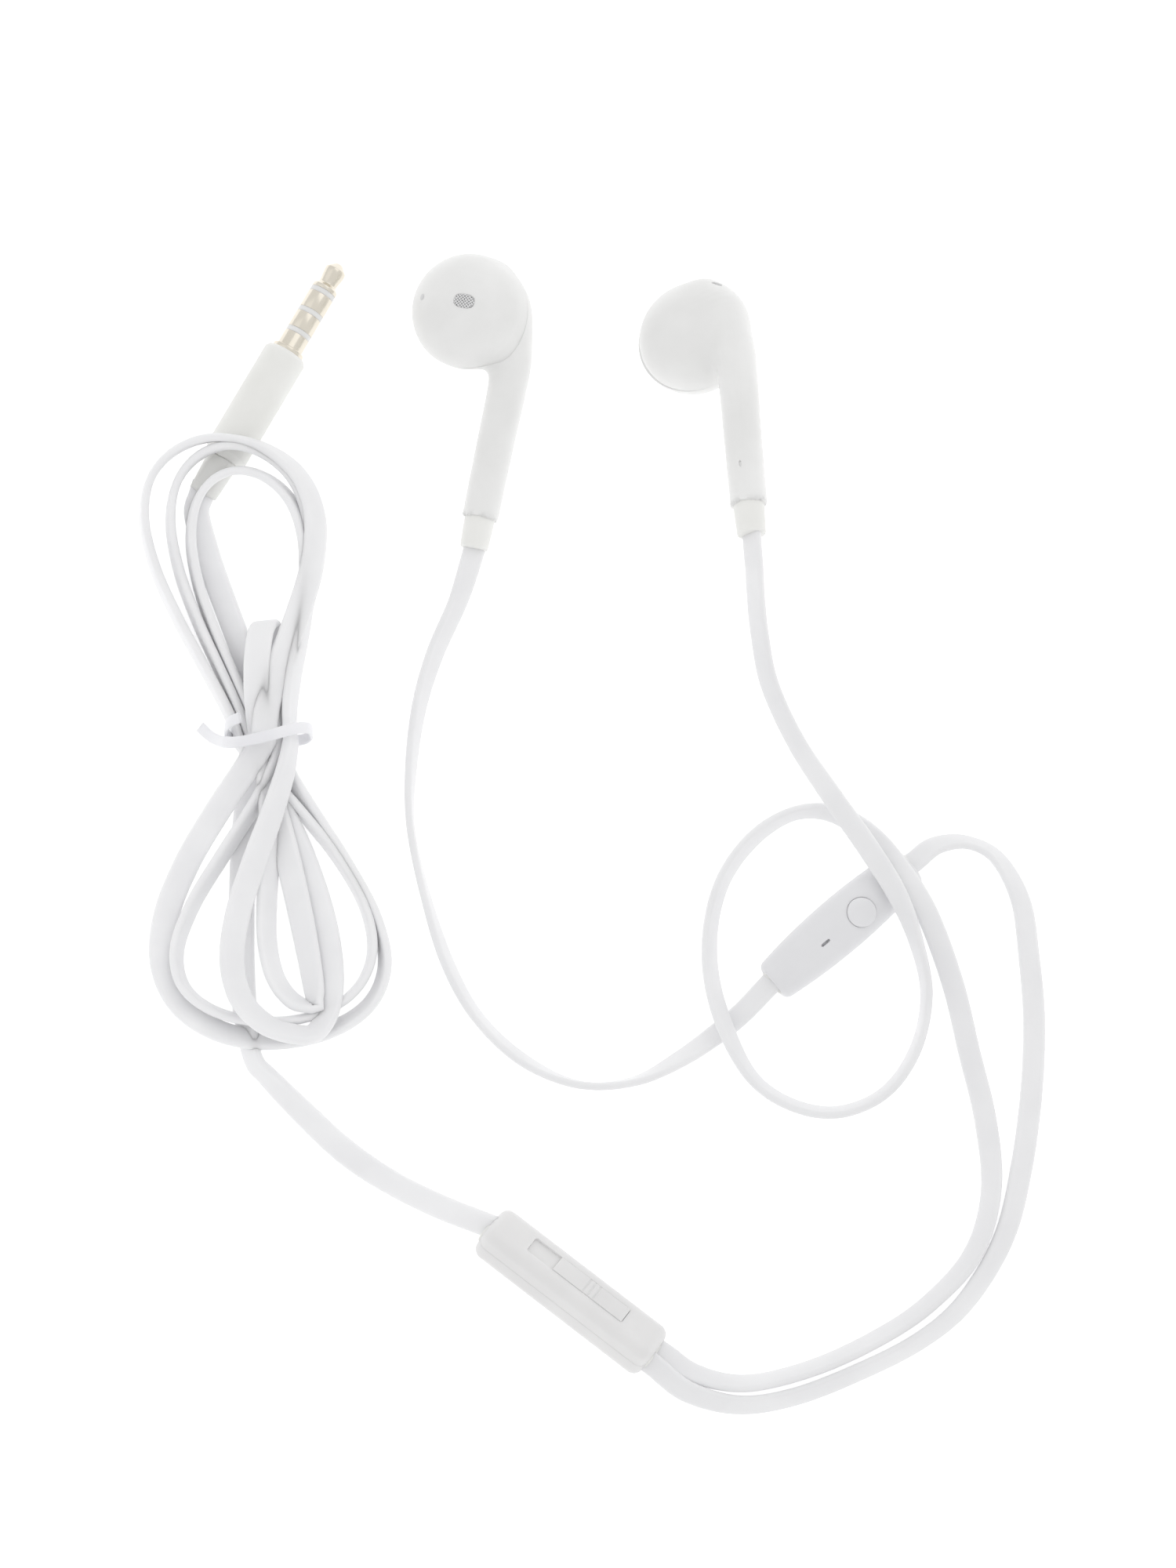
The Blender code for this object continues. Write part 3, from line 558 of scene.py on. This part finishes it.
FINISHES = {
    "white_gloss": plastic("white_shell", (0.80, 0.80, 0.792), (0.845, 0.845, 0.838), 0.34, 0.46,
                           coat=0.12, relief=0.04),
    "remote_white": plastic("remote_shell", (0.765, 0.765, 0.78), (0.80, 0.80, 0.815), 0.36, 0.48,
                            coat=0.1, relief=0.05),
    "box_white": plastic("box_shell", (0.77, 0.765, 0.765), (0.81, 0.806, 0.804), 0.36, 0.48,
                         coat=0.1, relief=0.05),
    "white_soft": plastic("white_elastomer", (0.82, 0.82, 0.795), (0.86, 0.86, 0.838), 0.44, 0.58,
                          relief=0.1),
    "soft_rubber": plastic("soft_white_rubber", (0.815, 0.815, 0.79), (0.855, 0.855, 0.835), 0.5,
                           0.66, relief=0.16),
    "lead": plastic("lead_jacket", (0.82, 0.82, 0.83), (0.855, 0.855, 0.863), 0.42, 0.54,
                    relief=0.1),
    # The main lead's jacket is the branch leads' plastic painted brighter: its extra brightness is
    # painted fill light that lifts the shade between the hank's strands.
    "main_lead": plastic("main_lead_jacket_painted_fill", (0.85, 0.85, 0.86), (0.885, 0.885, 0.893), 0.42, 0.54,
                         relief=0.1, subsurface=0.5),
    "tie": plastic("tie_jacket", (0.84, 0.84, 0.87), (0.885, 0.885, 0.91), 0.36, 0.5, relief=0.1),
    "insulator": plastic("insulating_ring", (0.76, 0.76, 0.755), (0.83, 0.83, 0.82), 0.3, 0.45),
    "board": plastic("circuit_board", (0.02, 0.10, 0.04), (0.03, 0.14, 0.06), 0.35, 0.5),
    "foam": plastic("acoustic_foam", (0.03, 0.03, 0.03), (0.07, 0.07, 0.07), 0.8, 0.95,
                    relief=0.6),
    "film": plastic("diaphragm_film", (0.30, 0.27, 0.20), (0.40, 0.36, 0.28), 0.15, 0.3),
    "mesh": plastic("woven_mesh", (0.84, 0.84, 0.845), (0.88, 0.88, 0.885), 0.4, 0.55),
    "magnet": metal("magnet", (0.30, 0.30, 0.31), (0.42, 0.42, 0.43), 0.25, 0.4),
    "steel": metal("steel", (0.50, 0.50, 0.51), (0.62, 0.62, 0.63), 0.22, 0.38),
    "copper": metal("copper", (0.65, 0.30, 0.16), (0.80, 0.42, 0.24), 0.2, 0.35),
    "gold": metal("pale_gold", (0.74, 0.69, 0.595), (0.79, 0.745, 0.655), 0.2, 0.26, 400),
}
FELT = plastic("grey_felt", (0.78, 0.78, 0.78), (0.84, 0.84, 0.84), 0.7, 0.9, relief=0.5)
PRINT = plastic("grey_print", (0.68, 0.68, 0.685), (0.73, 0.73, 0.735), 0.4, 0.5)


# ---------------------------------------------------------------- camera and floor

def camera_and_light():
    """The camera above the set, a pale floor and soft light from all round."""
    tilt = math.radians(CAMERA_TILT)
    lens = bpy.data.cameras.new("camera")
    lens.lens = CAMERA_LENS
    lens.sensor_width = 36
    eye = bpy.data.objects.new("camera", lens)
    bpy.context.scene.collection.objects.link(eye)
    eye.location = place(0, 0, 0) + Vector((0, -math.sin(tilt), math.cos(tilt))) * CAMERA_FAR
    eye.rotation_euler = (tilt, 0, 0)
    bpy.context.scene.camera = eye

    bpy.context.scene.view_settings.view_transform = "Standard"
    world = bpy.data.worlds.new("studio")
    world.use_nodes = True
    sky = world.node_tree.nodes["Background"]
    sky.inputs["Color"].default_value = (1, 1, 1, 1)
    sky.inputs["Strength"].default_value = SKY_LIGHT
    bpy.context.scene.world = world
    for name, where, size, power in LAMPS:
        lamp = bpy.data.lights.new(name, "AREA")
        lamp.size = size
        lamp.energy = power
        lit = bpy.data.objects.new(name, lamp)
        bpy.context.scene.collection.objects.link(lit)
        lit.location = where
        lit.rotation_euler = (-Vector(where)).to_track_quat("-Z", "Y").to_euler()

    bpy.ops.mesh.primitive_plane_add(size=6, location=(0, 0, -0.0001))
    floor = bpy.context.object
    floor.name = "floor"
    paper, tree, shader = shader_material("floor_paper", (0.95, 0.95, 0.95), 0.9)
    shader.inputs["Emission Color"].default_value = (1, 1, 1, 1)
    shader.inputs["Emission Strength"].default_value = FLOOR_LIGHT
    bump(tree, shader, noise(tree, 400, 3), 0.05, 0.0001)
    floor.data.materials.append(paper)


# ---------------------------------------------------------------- leads

def hairpin_rows():
    """The short fold above the tie, in layout millimetres."""
    return [(TIE_AT[0] + x, TIE_AT[1] + y, z, roll) for x, y, z, roll in HAIRPIN]


def loop_rows(loop, start, end):
    """The points of one swing from one pass under the tie to the next."""
    rows = []
    quarters = (0, 0.25, 0.5, 0.75, 1)
    heights = (start[1], *loop["heights"], end[1])
    rolls = (start[2], *loop["rolls"], end[2])
    for k in range(1, POINTS_PER_LOOP):
        share = k / POINTS_PER_LOOP
        out = math.sin(math.pi * share) ** 2
        left = share < 0.5
        power = (loop["pinch"][0] if left else loop["pinch"][1]) + 1
        widest = power / (power + 1)
        swing = (out / widest) ** (power / 2) * math.sqrt((1 - out) / (1 - widest))
        side = -loop["left"] if left else loop["right"]
        slot = (start[0] if left else end[0]) * (1 - out) ** 2
        rows.append((TIE_AT[0] + loop["lean"] * out + side * swing + slot,
                     TIE_AT[1] + loop["way"] * loop["reach"] * out,
                     float(np.interp(share, quarters, heights)),
                     float(np.interp(share, quarters, rolls))))
    return rows


def main_lead_rows():
    """The main lead from the volume box, up under the hank, round its loops and to the plug."""
    rows = laid(MAIN_ROUTE, MAIN_W, MAIN_T, MAIN_TUBE_R)[::-1]
    rows += UNDER_HANK_ROUTE
    passes = [(TIE_AT[0] + x, TIE_AT[1], z, roll) for x, z, roll in PASSES]
    rows += [passes[0], *hairpin_rows(), passes[1]]
    for k, loop in enumerate(LOOPS):
        rows += loop_rows(loop, PASSES[k + 1], PASSES[k + 2])
        rows.append(passes[k + 2])
    return rows + TO_PLUG_ROUTE


def leads():
    """Every lead, then the plug and the twist tie."""
    branches = [
        ("left", LEFT_ROUTE), ("right_lower", RIGHT_LOWER_ROUTE),
        ("right_upper", RIGHT_UPPER_ROUTE),
    ]
    for side, route in branches:
        rows = laid(route, BRANCH_W, BRANCH_T, BRANCH_TUBE_R)
        lead, path = ribbon(side + "_flat_lead", rows, BRANCH_W, BRANCH_T, FINISHES["lead"])
        piece(lead, ROOT, "lead", None, side + "_lead")
    # The main lead takes the brighter jacket, whose extra brightness is painted fill light for the
    # hank's shade.
    lead, path = ribbon("main_flat_lead", main_lead_rows(), MAIN_W, MAIN_T,
                        FINISHES["main_lead"])
    piece(lead, ROOT, "lead", None, "main_lead", "main_lead_hank")
    plug() + [twist_tie()]


def twist_tie():
    """The band round the hank's waist, with its tail."""
    rows = spline(TIE_ROUTE, 0.3)
    middle = rows + (TIE_AT[0], TIE_AT[1], 0)
    section = stadium(TIE_W, TIE_T, 5)
    along_hank = np.tile((0.0, 1.0, 0.0), (len(middle), 1))
    made = swept("twist_tie_band", middle, along_hank, section, FINISHES["tie"])
    return piece(made, ROOT, "tie", Matrix.Scale(MM, 4) @ Matrix.Translation(-CENTRE), "hank_tie")


# ---------------------------------------------------------------- plug

def plug():
    """The plug: four contacts parted by thin rings, the grip and the boot."""
    heading = Euler((0, math.radians(90), math.radians(PLUG_HEADING))).to_matrix().to_4x4()
    at = Matrix.Translation(place(*PLUG_TIP)) @ heading @ Matrix.Scale(MM, 4)
    ring = PLUG_R - 0.03
    turns = [
        ("tip", "gold", [(0, 0), (0.5, -0.06), (1.42, -0.95), (1.45, -1.25), (1.42, -1.7),
                         (1.26, -2.7), (1.22, -3.25), (1.5, -3.55), (PLUG_R, -3.75),
                         (PLUG_R, -4.25), (0, -4.25)]),
        ("insulator_1", "insulator", [(0, -4.25), (ring, -4.25), (ring, -4.95), (0, -4.95)]),
        ("ring_1", "gold", [(0, -4.95), (PLUG_R, -4.95), (PLUG_R, -7.45), (0, -7.45)]),
        ("insulator_2", "insulator", [(0, -7.45), (ring, -7.45), (ring, -8.15), (0, -8.15)]),
        ("ring_2", "gold", [(0, -8.15), (PLUG_R, -8.15), (PLUG_R, -10.55), (0, -10.55)]),
        ("insulator_3", "insulator", [(0, -10.55), (ring, -10.55), (ring, -11.25), (0, -11.25)]),
        ("sleeve", "gold", [(0, -11.25), (PLUG_R, -11.25), (PLUG_R, -13.3), (2.2, -13.4),
                            (2.2, -METAL_L), (0, -METAL_L)]),
        ("grip", "white_gloss", [(0, -METAL_L), (GRIP_R - 0.35, -METAL_L - 0.02),
                                 (GRIP_R, -METAL_L - 0.5), (GRIP_R, -METAL_L - GRIP_L + 0.9),
                                 (GRIP_R - 0.8, -METAL_L - GRIP_L), (0, -METAL_L - GRIP_L)]),
    ]
    pieces = []
    for name, slot, outline in turns:
        finish = FINISHES["white_soft" if name == "grip" else slot]
        made = turned("plug_" + name + "_turning", outline, finish)
        pieces.append(piece(made, ROOT, slot, at, "plug_" + name))
    boot = boot_mesh(-METAL_L - GRIP_L)
    pieces.append(piece(boot, ROOT, "soft_rubber", at, "plug_boot"))
    return pieces


def boot_mesh(start):
    """The soft boot: round where it meets the grip and flat where the lead leaves it."""
    steps = 24
    flat = stadium(MAIN_W + 0.5, MAIN_T + 0.6, 12)
    points = []
    for k in range(steps + 1):
        share = k / steps
        ease = share * share * (3 - 2 * share)
        fall = math.sqrt(1 - max(0, (share - 0.94) / 0.06) ** 2 * 0.6)
        for wide, thick in flat:
            turn = math.atan2(thick / (MAIN_T + 0.6), wide / (MAIN_W + 0.5))
            round_x, round_y = 2.15 * math.sin(turn), 2.15 * math.cos(turn)
            x = round_x + (thick - round_x) * ease
            y = round_y + (wide - round_y) * ease
            points.append((x * fall, y * fall, start - 0.02 - (BOOT_L + 0.4) * share))
    return skinned("plug_boot_taper", np.array(points), len(flat), FINISHES["soft_rubber"])


# ---------------------------------------------------------------- earbuds

def ellipsoid(points, centre, radii):
    """Roughly the distance of points from an ellipsoid."""
    offset = points - centre
    near = np.linalg.norm(offset / radii, axis=1)
    steep = np.maximum(np.linalg.norm(offset / np.square(radii), axis=1), 1e-9)
    return near * (near - 1) / steep


def merged(one, other, blend):
    """Two distances joined with a round valley."""
    near = np.maximum(blend - np.abs(one - other), 0) / blend
    return np.minimum(one, other) - near * near * blend / 4


def stem_distance(points):
    """The distance of points from the stem, a chain of balls that change size."""
    line = spline(STEM_LINE, 0.8)
    best = np.full(len(points), 1e9)
    for start, end in zip(line, line[1:]):
        leg = end[:3] - start[:3]
        share = np.clip((points - start[:3]) @ leg / (leg @ leg), 0, 1)
        gap = np.linalg.norm(points - start[:3] - share[:, None] * leg, axis=1)
        best = np.minimum(best, gap - start[3] - (end[3] - start[3]) * share)
    return -merged(-best, points[:, 1] + STEM_END, 0.3)


def front_field(points):
    """The front half's skin."""
    head = ellipsoid(points, HEAD_CENTRE, (HEAD_X, HEAD_Y, FRONT_DEPTH))
    return merged(head, stem_distance(points), BLEND)


def rear_field(points):
    """The rear half's skin: a little smaller, so that the front has a rim, and the stem."""
    head = ellipsoid(points, REAR_CENTRE, REAR_SIZE)
    return merged(head, stem_distance(points), BLEND)


def slope_of(field, points):
    """The way in which a field rises fastest at each point."""
    step = 0.001
    return np.stack([field(points + way) - field(points - way)
                     for way in np.eye(3) * step], axis=1) / (2 * step)


def drawn_to(field, points):
    """Points moved onto the surface where a field is zero."""
    for _ in range(6):
        slope = slope_of(field, points)
        steep = np.maximum((slope ** 2).sum(1), 0.2)
        points = points - slope * (field(points) / steep)[:, None]
    return points


def skin(field, name):
    """A fine closed mesh on a bud's surface."""
    bm = bmesh.new()
    head = Matrix.Diagonal((HEAD_X, HEAD_Y, FRONT_DEPTH, 1))
    bmesh.ops.create_icosphere(bm, subdivisions=5, radius=1, matrix=head)
    for x, y, z, radius in spline(STEM_LINE, 0.8):
        if y - radius > -STEM_END:
            bmesh.ops.create_icosphere(bm, subdivisions=3, radius=radius,
                                       matrix=Matrix.Translation((x, y, z)))
    mesh = bpy.data.meshes.new(name)
    bm.to_mesh(mesh)
    bm.free()
    rough = new_object(name, mesh)
    remesh = rough.modifiers.new("remesh", "REMESH")
    remesh.mode = "VOXEL"
    remesh.voxel_size = SKIN
    applied(rough)
    mesh = rough.data
    bpy.data.objects.remove(rough)
    points = np.empty(len(mesh.vertices) * 3)
    mesh.vertices.foreach_get("co", points)
    points = points.reshape(-1, 3)
    mesh.vertices.foreach_set("co", drawn_to(field, points).ravel())
    mesh.update()
    return mesh


def weave(name, half_a, half_b, pitch, height, finish, backing):
    """Crossed wires over and under each other in an oval, above a felt backing."""
    wire = pitch * 0.26
    points, faces, shades = [], [], []
    count = int((half_a + half_b) / pitch)
    for slant in (1, -1):
        way = np.array((1, slant)) / math.sqrt(2)
        beside = np.array((-slant, 1)) / math.sqrt(2)
        for k in range(-count, count + 1):
            base = beside * k * pitch
            radii = np.array((half_a, half_b))
            a = ((way / radii) ** 2).sum()
            b = 2 * (way * base / radii ** 2).sum()
            c = ((base / radii) ** 2).sum() - 1
            if b * b - 4 * a * c < 0.05:
                continue
            spread = math.sqrt(b * b - 4 * a * c)
            low, high = (-b - spread) / (2 * a), (-b + spread) / (2 * a)
            stations = np.linspace(low, high, max(4, int((high - low) / pitch * 4)))
            start = len(points)
            for s in stations:
                x, y = base + way * s
                wave = slant * wire * math.cos(math.pi * (s / pitch + k))
                for j in range(6):
                    turn = math.tau * j / 6
                    side = beside * wire * math.cos(turn)
                    points.append((x + side[0], y + side[1],
                                   height(x, y) + wave + wire * math.sin(turn)))
            for m in range(len(stations) - 1):
                for j in range(6):
                    here = start + m * 6 + j
                    following = start + m * 6 + (j + 1) % 6
                    faces.append((here, following, following + 6, here + 6))
                    shades.append(0)
    start = len(points)
    ring = 40
    for k in range(ring):
        x = (half_a + 0.1) * math.cos(math.tau * k / ring)
        y = (half_b + 0.1) * math.sin(math.tau * k / ring)
        points.append((x, y, height(x, y) - 0.2))
    faces.append(tuple(range(start, start + ring)))
    shades.append(1)
    mesh = bpy.data.meshes.new(name)
    mesh.from_pydata(points, [], faces)
    made = new_object(name, mesh, finish)
    mesh.materials.append(backing)
    mesh.polygons.foreach_set("material_index", shades)
    return made


def vent_height(x, y):
    """Where the vent's mesh lies, just under the rear body's skin."""
    return -VENT_SUNK


def dome_height(x, y):
    """Where the port's mesh lies, just under the front dome."""
    return dome(x + PORT_AT[0], y + PORT_AT[1]) - PORT_SUNK


def dome(x, y):
    """The height of the front dome."""
    across = (x - HEAD_CENTRE[0]) / HEAD_X
    along = (y - HEAD_CENTRE[1]) / HEAD_Y
    return FRONT_DEPTH * math.sqrt(1 - across ** 2 - along ** 2)


def earbud(side, spec, facing, front_skin, rear_skin):
    """One earbud; facing is -1 where it is mirrored."""
    at = frame_of(spec) @ Matrix.Diagonal((1, 1, facing, 1))
    front = halved(side + "_front_dome", front_skin, 1, 0.03, FINISHES["white_gloss"])
    port_at = Vector((PORT_AT[0], PORT_AT[1], dome(*PORT_AT)))
    punched(front, port_at, (1, 0, 0), (0, 1, 0), PORT_X, PORT_Y, PORT_DEPTH, corner=2.8)
    piece(front, ROOT, "white_gloss", at, side + "_front_shell")

    rear = halved(side + "_rear_body", rear_skin, -1, 0.04, FINISHES["white_gloss"])
    spot = drawn_to(rear_field, np.array([VENT], float))
    out = Vector(slope_of(rear_field, spot)[0]).normalized()
    spot = Vector(spot[0])
    across = out.cross((0, 0, 1)).normalized()
    punched(rear, spot, -across, out.cross(-across), VENT_X, VENT_Y, VENT_DEPTH, rim=0.06,
            corner=2.6)
    punched(rear, (STEM_X, -STEM_SLOT, -STEM_BACK - 2.4), (-1, 0, 0), (0, 1, 0), 0.2, 0.5, 0.2,
            rim=0.05, corner=2.6)
    piece(rear, ROOT, "white_gloss", at, side + "_rear_shell")

    port = weave(side + "_port_weave", PORT_X - 0.02, PORT_Y - 0.02, PORT_PITCH,
                 dome_height, FINISHES["mesh"], FELT)
    port_seat = at @ Matrix.Translation((PORT_AT[0], PORT_AT[1], 0))
    piece(port, ROOT, "mesh", port_seat, side + "_port_grille")
    vent = weave(side + "_vent_weave", *VENT_WEAVE, VENT_PITCH, vent_height, FINISHES["mesh"],
                 FELT)
    seat = Matrix((-across, out.cross(-across), out)).transposed().to_4x4()
    surface = Matrix.Translation(spot) @ seat
    piece(vent, ROOT, "mesh", at @ surface, side + "_vent_mesh")

    top = -STEM_END + 0.3
    collar = turned(side + "_collar", [(0, top), (COLLAR_R, top), (COLLAR_R, top - 0.5),
                                       (COLLAR_TIP_R, -COLLAR_END), (0, -COLLAR_END)],
                    FINISHES["white_soft"], 0.22)
    stem = Matrix.Translation((STEM_X, 0, -STEM_BACK)) @ Matrix.Rotation(math.radians(-90), 4, "X")
    piece(collar, ROOT, "soft_rubber", at @ stem, side + "_strain_relief")
    if facing > 0:
        outline = [(0, 0.05), (0.36, 0.04), (0.42, 0), (0.4, -0.1), (0, -0.1)]
        dot = turned("right_side_mark", outline, PRINT, 0, 32)
        x, y = MARK
        spot = Vector((x, y, dome(x, y)))
        normal = Vector([(value - middle) / size ** 2 for value, middle, size
                         in zip(spot, HEAD_CENTRE, (HEAD_X, HEAD_Y, FRONT_DEPTH))])
        facing_out = normal.to_track_quat("Z", "Y").to_matrix().to_4x4()
        piece(dot, ROOT, "white_gloss", at @ Matrix.Translation(spot) @ facing_out)


def earbuds():
    """Both earbuds, mirror images of each other."""
    front_skin = skin(front_field, "front_skin")
    rear_skin = skin(rear_field, "rear_skin")
    earbud("right", RIGHT_BUD, 1, front_skin, rear_skin)
    earbud("left", LEFT_BUD, -1, front_skin, rear_skin)


# ---------------------------------------------------------------- remote

def remote_half_width(x):
    """The remote's half width, with its ends rounded."""
    radius = REMOTE_END_R + (REMOTE_MID_R - REMOTE_END_R) * (1 - (x / REMOTE_HALF) ** 2)
    past = max(0, abs(x) - REMOTE_HALF + REMOTE_EDGE) / REMOTE_EDGE
    return radius - REMOTE_EDGE * (1 - math.sqrt(max(0, 1 - past ** 2))) * 0.8


def remote():
    """The microphone remote, with its button on a body of its own."""
    at = frame_of(REMOTE)
    around, steps, round_off = 120, 130, 2.25
    stations = [(x, 1.0) for x in -REMOTE_HALF * np.cos(np.linspace(0, math.pi, steps))]
    lips = [(REMOTE_HALF - 0.05, 0.84), (REMOTE_HALF - 0.45, 0.76), (REMOTE_HALF - 0.5, 0.2)]
    stations = [(-x, k) for x, k in lips[::-1]] + stations + lips
    points = []
    for x, share in stations:
        wide = remote_half_width(x if share == 1 else math.copysign(REMOTE_HALF, x)) * share
        for k in range(around):
            turn = math.tau * (k + 0.5) / around
            c, s = math.cos(turn), math.sin(turn)
            y = math.copysign(abs(c) ** (2 / round_off), c) * wide
            z = math.copysign(abs(s) ** (2 / round_off), s) * wide * REMOTE_FLAT
            points.append((x, y, z))
    whole = skinned("remote_skin", np.array(points), around, None)
    settle(whole, Matrix.Identity(4))
    shape = whole.data
    bpy.data.objects.remove(whole)
    top = halved("remote_upper_skin", shape, 1, 0.05, FINISHES["remote_white"])
    height = remote_half_width(BUTTON_X) * REMOTE_FLAT
    hole = BUTTON_R + BUTTON_GAP
    punched(top, (BUTTON_X, 0, height), (1, 0, 0), (0, 1, 0), hole, hole, WELL_DEPTH, rim=0.05)
    punched(top, (MIC_X, 0, height), (1, 0, 0), (0, 1, 0), MIC_HALF_L, MIC_HALF_W, MIC_DEPTH,
            rim=0.06, corner=3)
    piece(top, ROOT, "white_gloss", at, "remote_top_cover")
    under = halved("remote_lower_skin", shape, -1, 0.05, FINISHES["remote_white"])
    piece(under, ROOT, "white_gloss", at, "remote_bottom_cover")

    low, high = BUTTON_TOP - CAP_DEPTH, BUTTON_TOP
    outline = [(0, low), (BUTTON_R, low), (BUTTON_R, high - 0.18), (BUTTON_R - 0.12, high - 0.04),
               (BUTTON_R * 0.75, high + 0.03), (BUTTON_R * 0.4, high - 0.01), (0, high - 0.03)]
    button = turned("remote_button_cap", outline, FINISHES["remote_white"], 0.05)
    piece(button, "remote_button", "white_gloss", at @ Matrix.Translation((BUTTON_X, 0, 0)),
          "remote_button")
    for name, way in (("lower", -1), ("upper", 1)):
        x = way * (REMOTE_HALF - 0.35)
        sleeve = block("remote_" + name + "_sleeve", (1.1, BRANCH_W + 0.7, BRANCH_T + 0.7),
                       (x, 0, 0), 0.4, 5, FINISHES["soft_rubber"])
        softened_edges(sleeve, 0.05)
        piece(sleeve, ROOT, "soft_rubber", at, "remote_" + name + "_grommet")


# ---------------------------------------------------------------- volume box

def volume_box():
    """The volume box with its slider; the thumb moves on a body of its own."""
    at = frame_of(VOLUME_BOX)
    whole = block("volume_skin", (BOX_L, BOX_W, BOX_H), (0, 0, 0), BOX_EDGE, 12)
    shape = whole.data
    bpy.data.objects.remove(whole)
    top = halved("volume_upper_skin", shape, 1, 0.03, FINISHES["box_white"])
    deep = BOX_H / 2 - WINDOW_DEPTH
    window = block("window", (WINDOW_L, WINDOW_W, 4), (0, 0, deep + 2), 0.3, 4)
    cut(top, window)
    softened_edges(top, 0.1, 3, 40)
    piece(top, ROOT, "white_gloss", at, "volume_top_cover")
    under = halved("volume_lower_skin", shape, -1, 0.03, FINISHES["box_white"])
    piece(under, ROOT, "white_gloss", at, "volume_bottom_cover")

    bed = block("slider_bed", (WINDOW_L + 1.2, WINDOW_W + 0.8, BED_T), (0, 0, BED_Z), 0.08, 2,
                FINISHES["box_white"])
    travel = block("travel_slot", (THUMB_TRAVEL + TRAVEL_SPARE, 1.0, 2),
                   (THUMB_LOW + TRAVEL_SHIFT, 0, 1.9), 0.2, 3)
    cut(bed, travel)
    softened_edges(bed, 0.04, 2, 40)
    piece(bed, ROOT, "white_soft", at, "slider_guide_plate")

    length = THUMB_HIGH - THUMB_LOW
    middle = (THUMB_HIGH + THUMB_LOW) / 2
    thumb = block("volume_thumb_cap", (length, THUMB_W, THUMB_T), (middle, 0, THUMB_Z), 0.08, 4,
                  FINISHES["box_white"])
    for k in range(GROOVES):
        groove = block("groove", (0.3, THUMB_W + 1, 0.4),
                       (middle + (k - 1) * GROOVE_PITCH, 0, GROOVE_Z), 0.1, 2)
        cut(thumb, groove)
    softened_edges(thumb, 0.05, 2, 40)
    piece(thumb, "volume_slider", "white_gloss", at, "volume_thumb")

    for name, way in (("main_lead", -1), ("split_lead", 1)):
        sleeve = block(name + "_sleeve", (1.6, 4.2, 1.9), (way * (BOX_L / 2 - 0.55), 0, 0), 0.4, 5,
                       FINISHES["soft_rubber"])
        softened_edges(sleeve, 0.05)
        piece(sleeve, ROOT, "soft_rubber", at, name + "_grommet")


# ---------------------------------------------------------------- carried-over nodes

def dress_nodes():
    """Gives each remaining node of the frame a material by its slot."""
    for row in frame["record"]["subparts"]:
        node = frame["nodes"][row["node"]]
        if not node.hide_render:
            node.data.materials.clear()
            node.data.materials.append(FINISHES[row["material_slot"]])
            node.data.shade_smooth()
            node.data.set_sharp_from_angle(angle=math.radians(35))


camera_and_light()
leads()
earbuds()
remote()
volume_box()
dress_nodes()
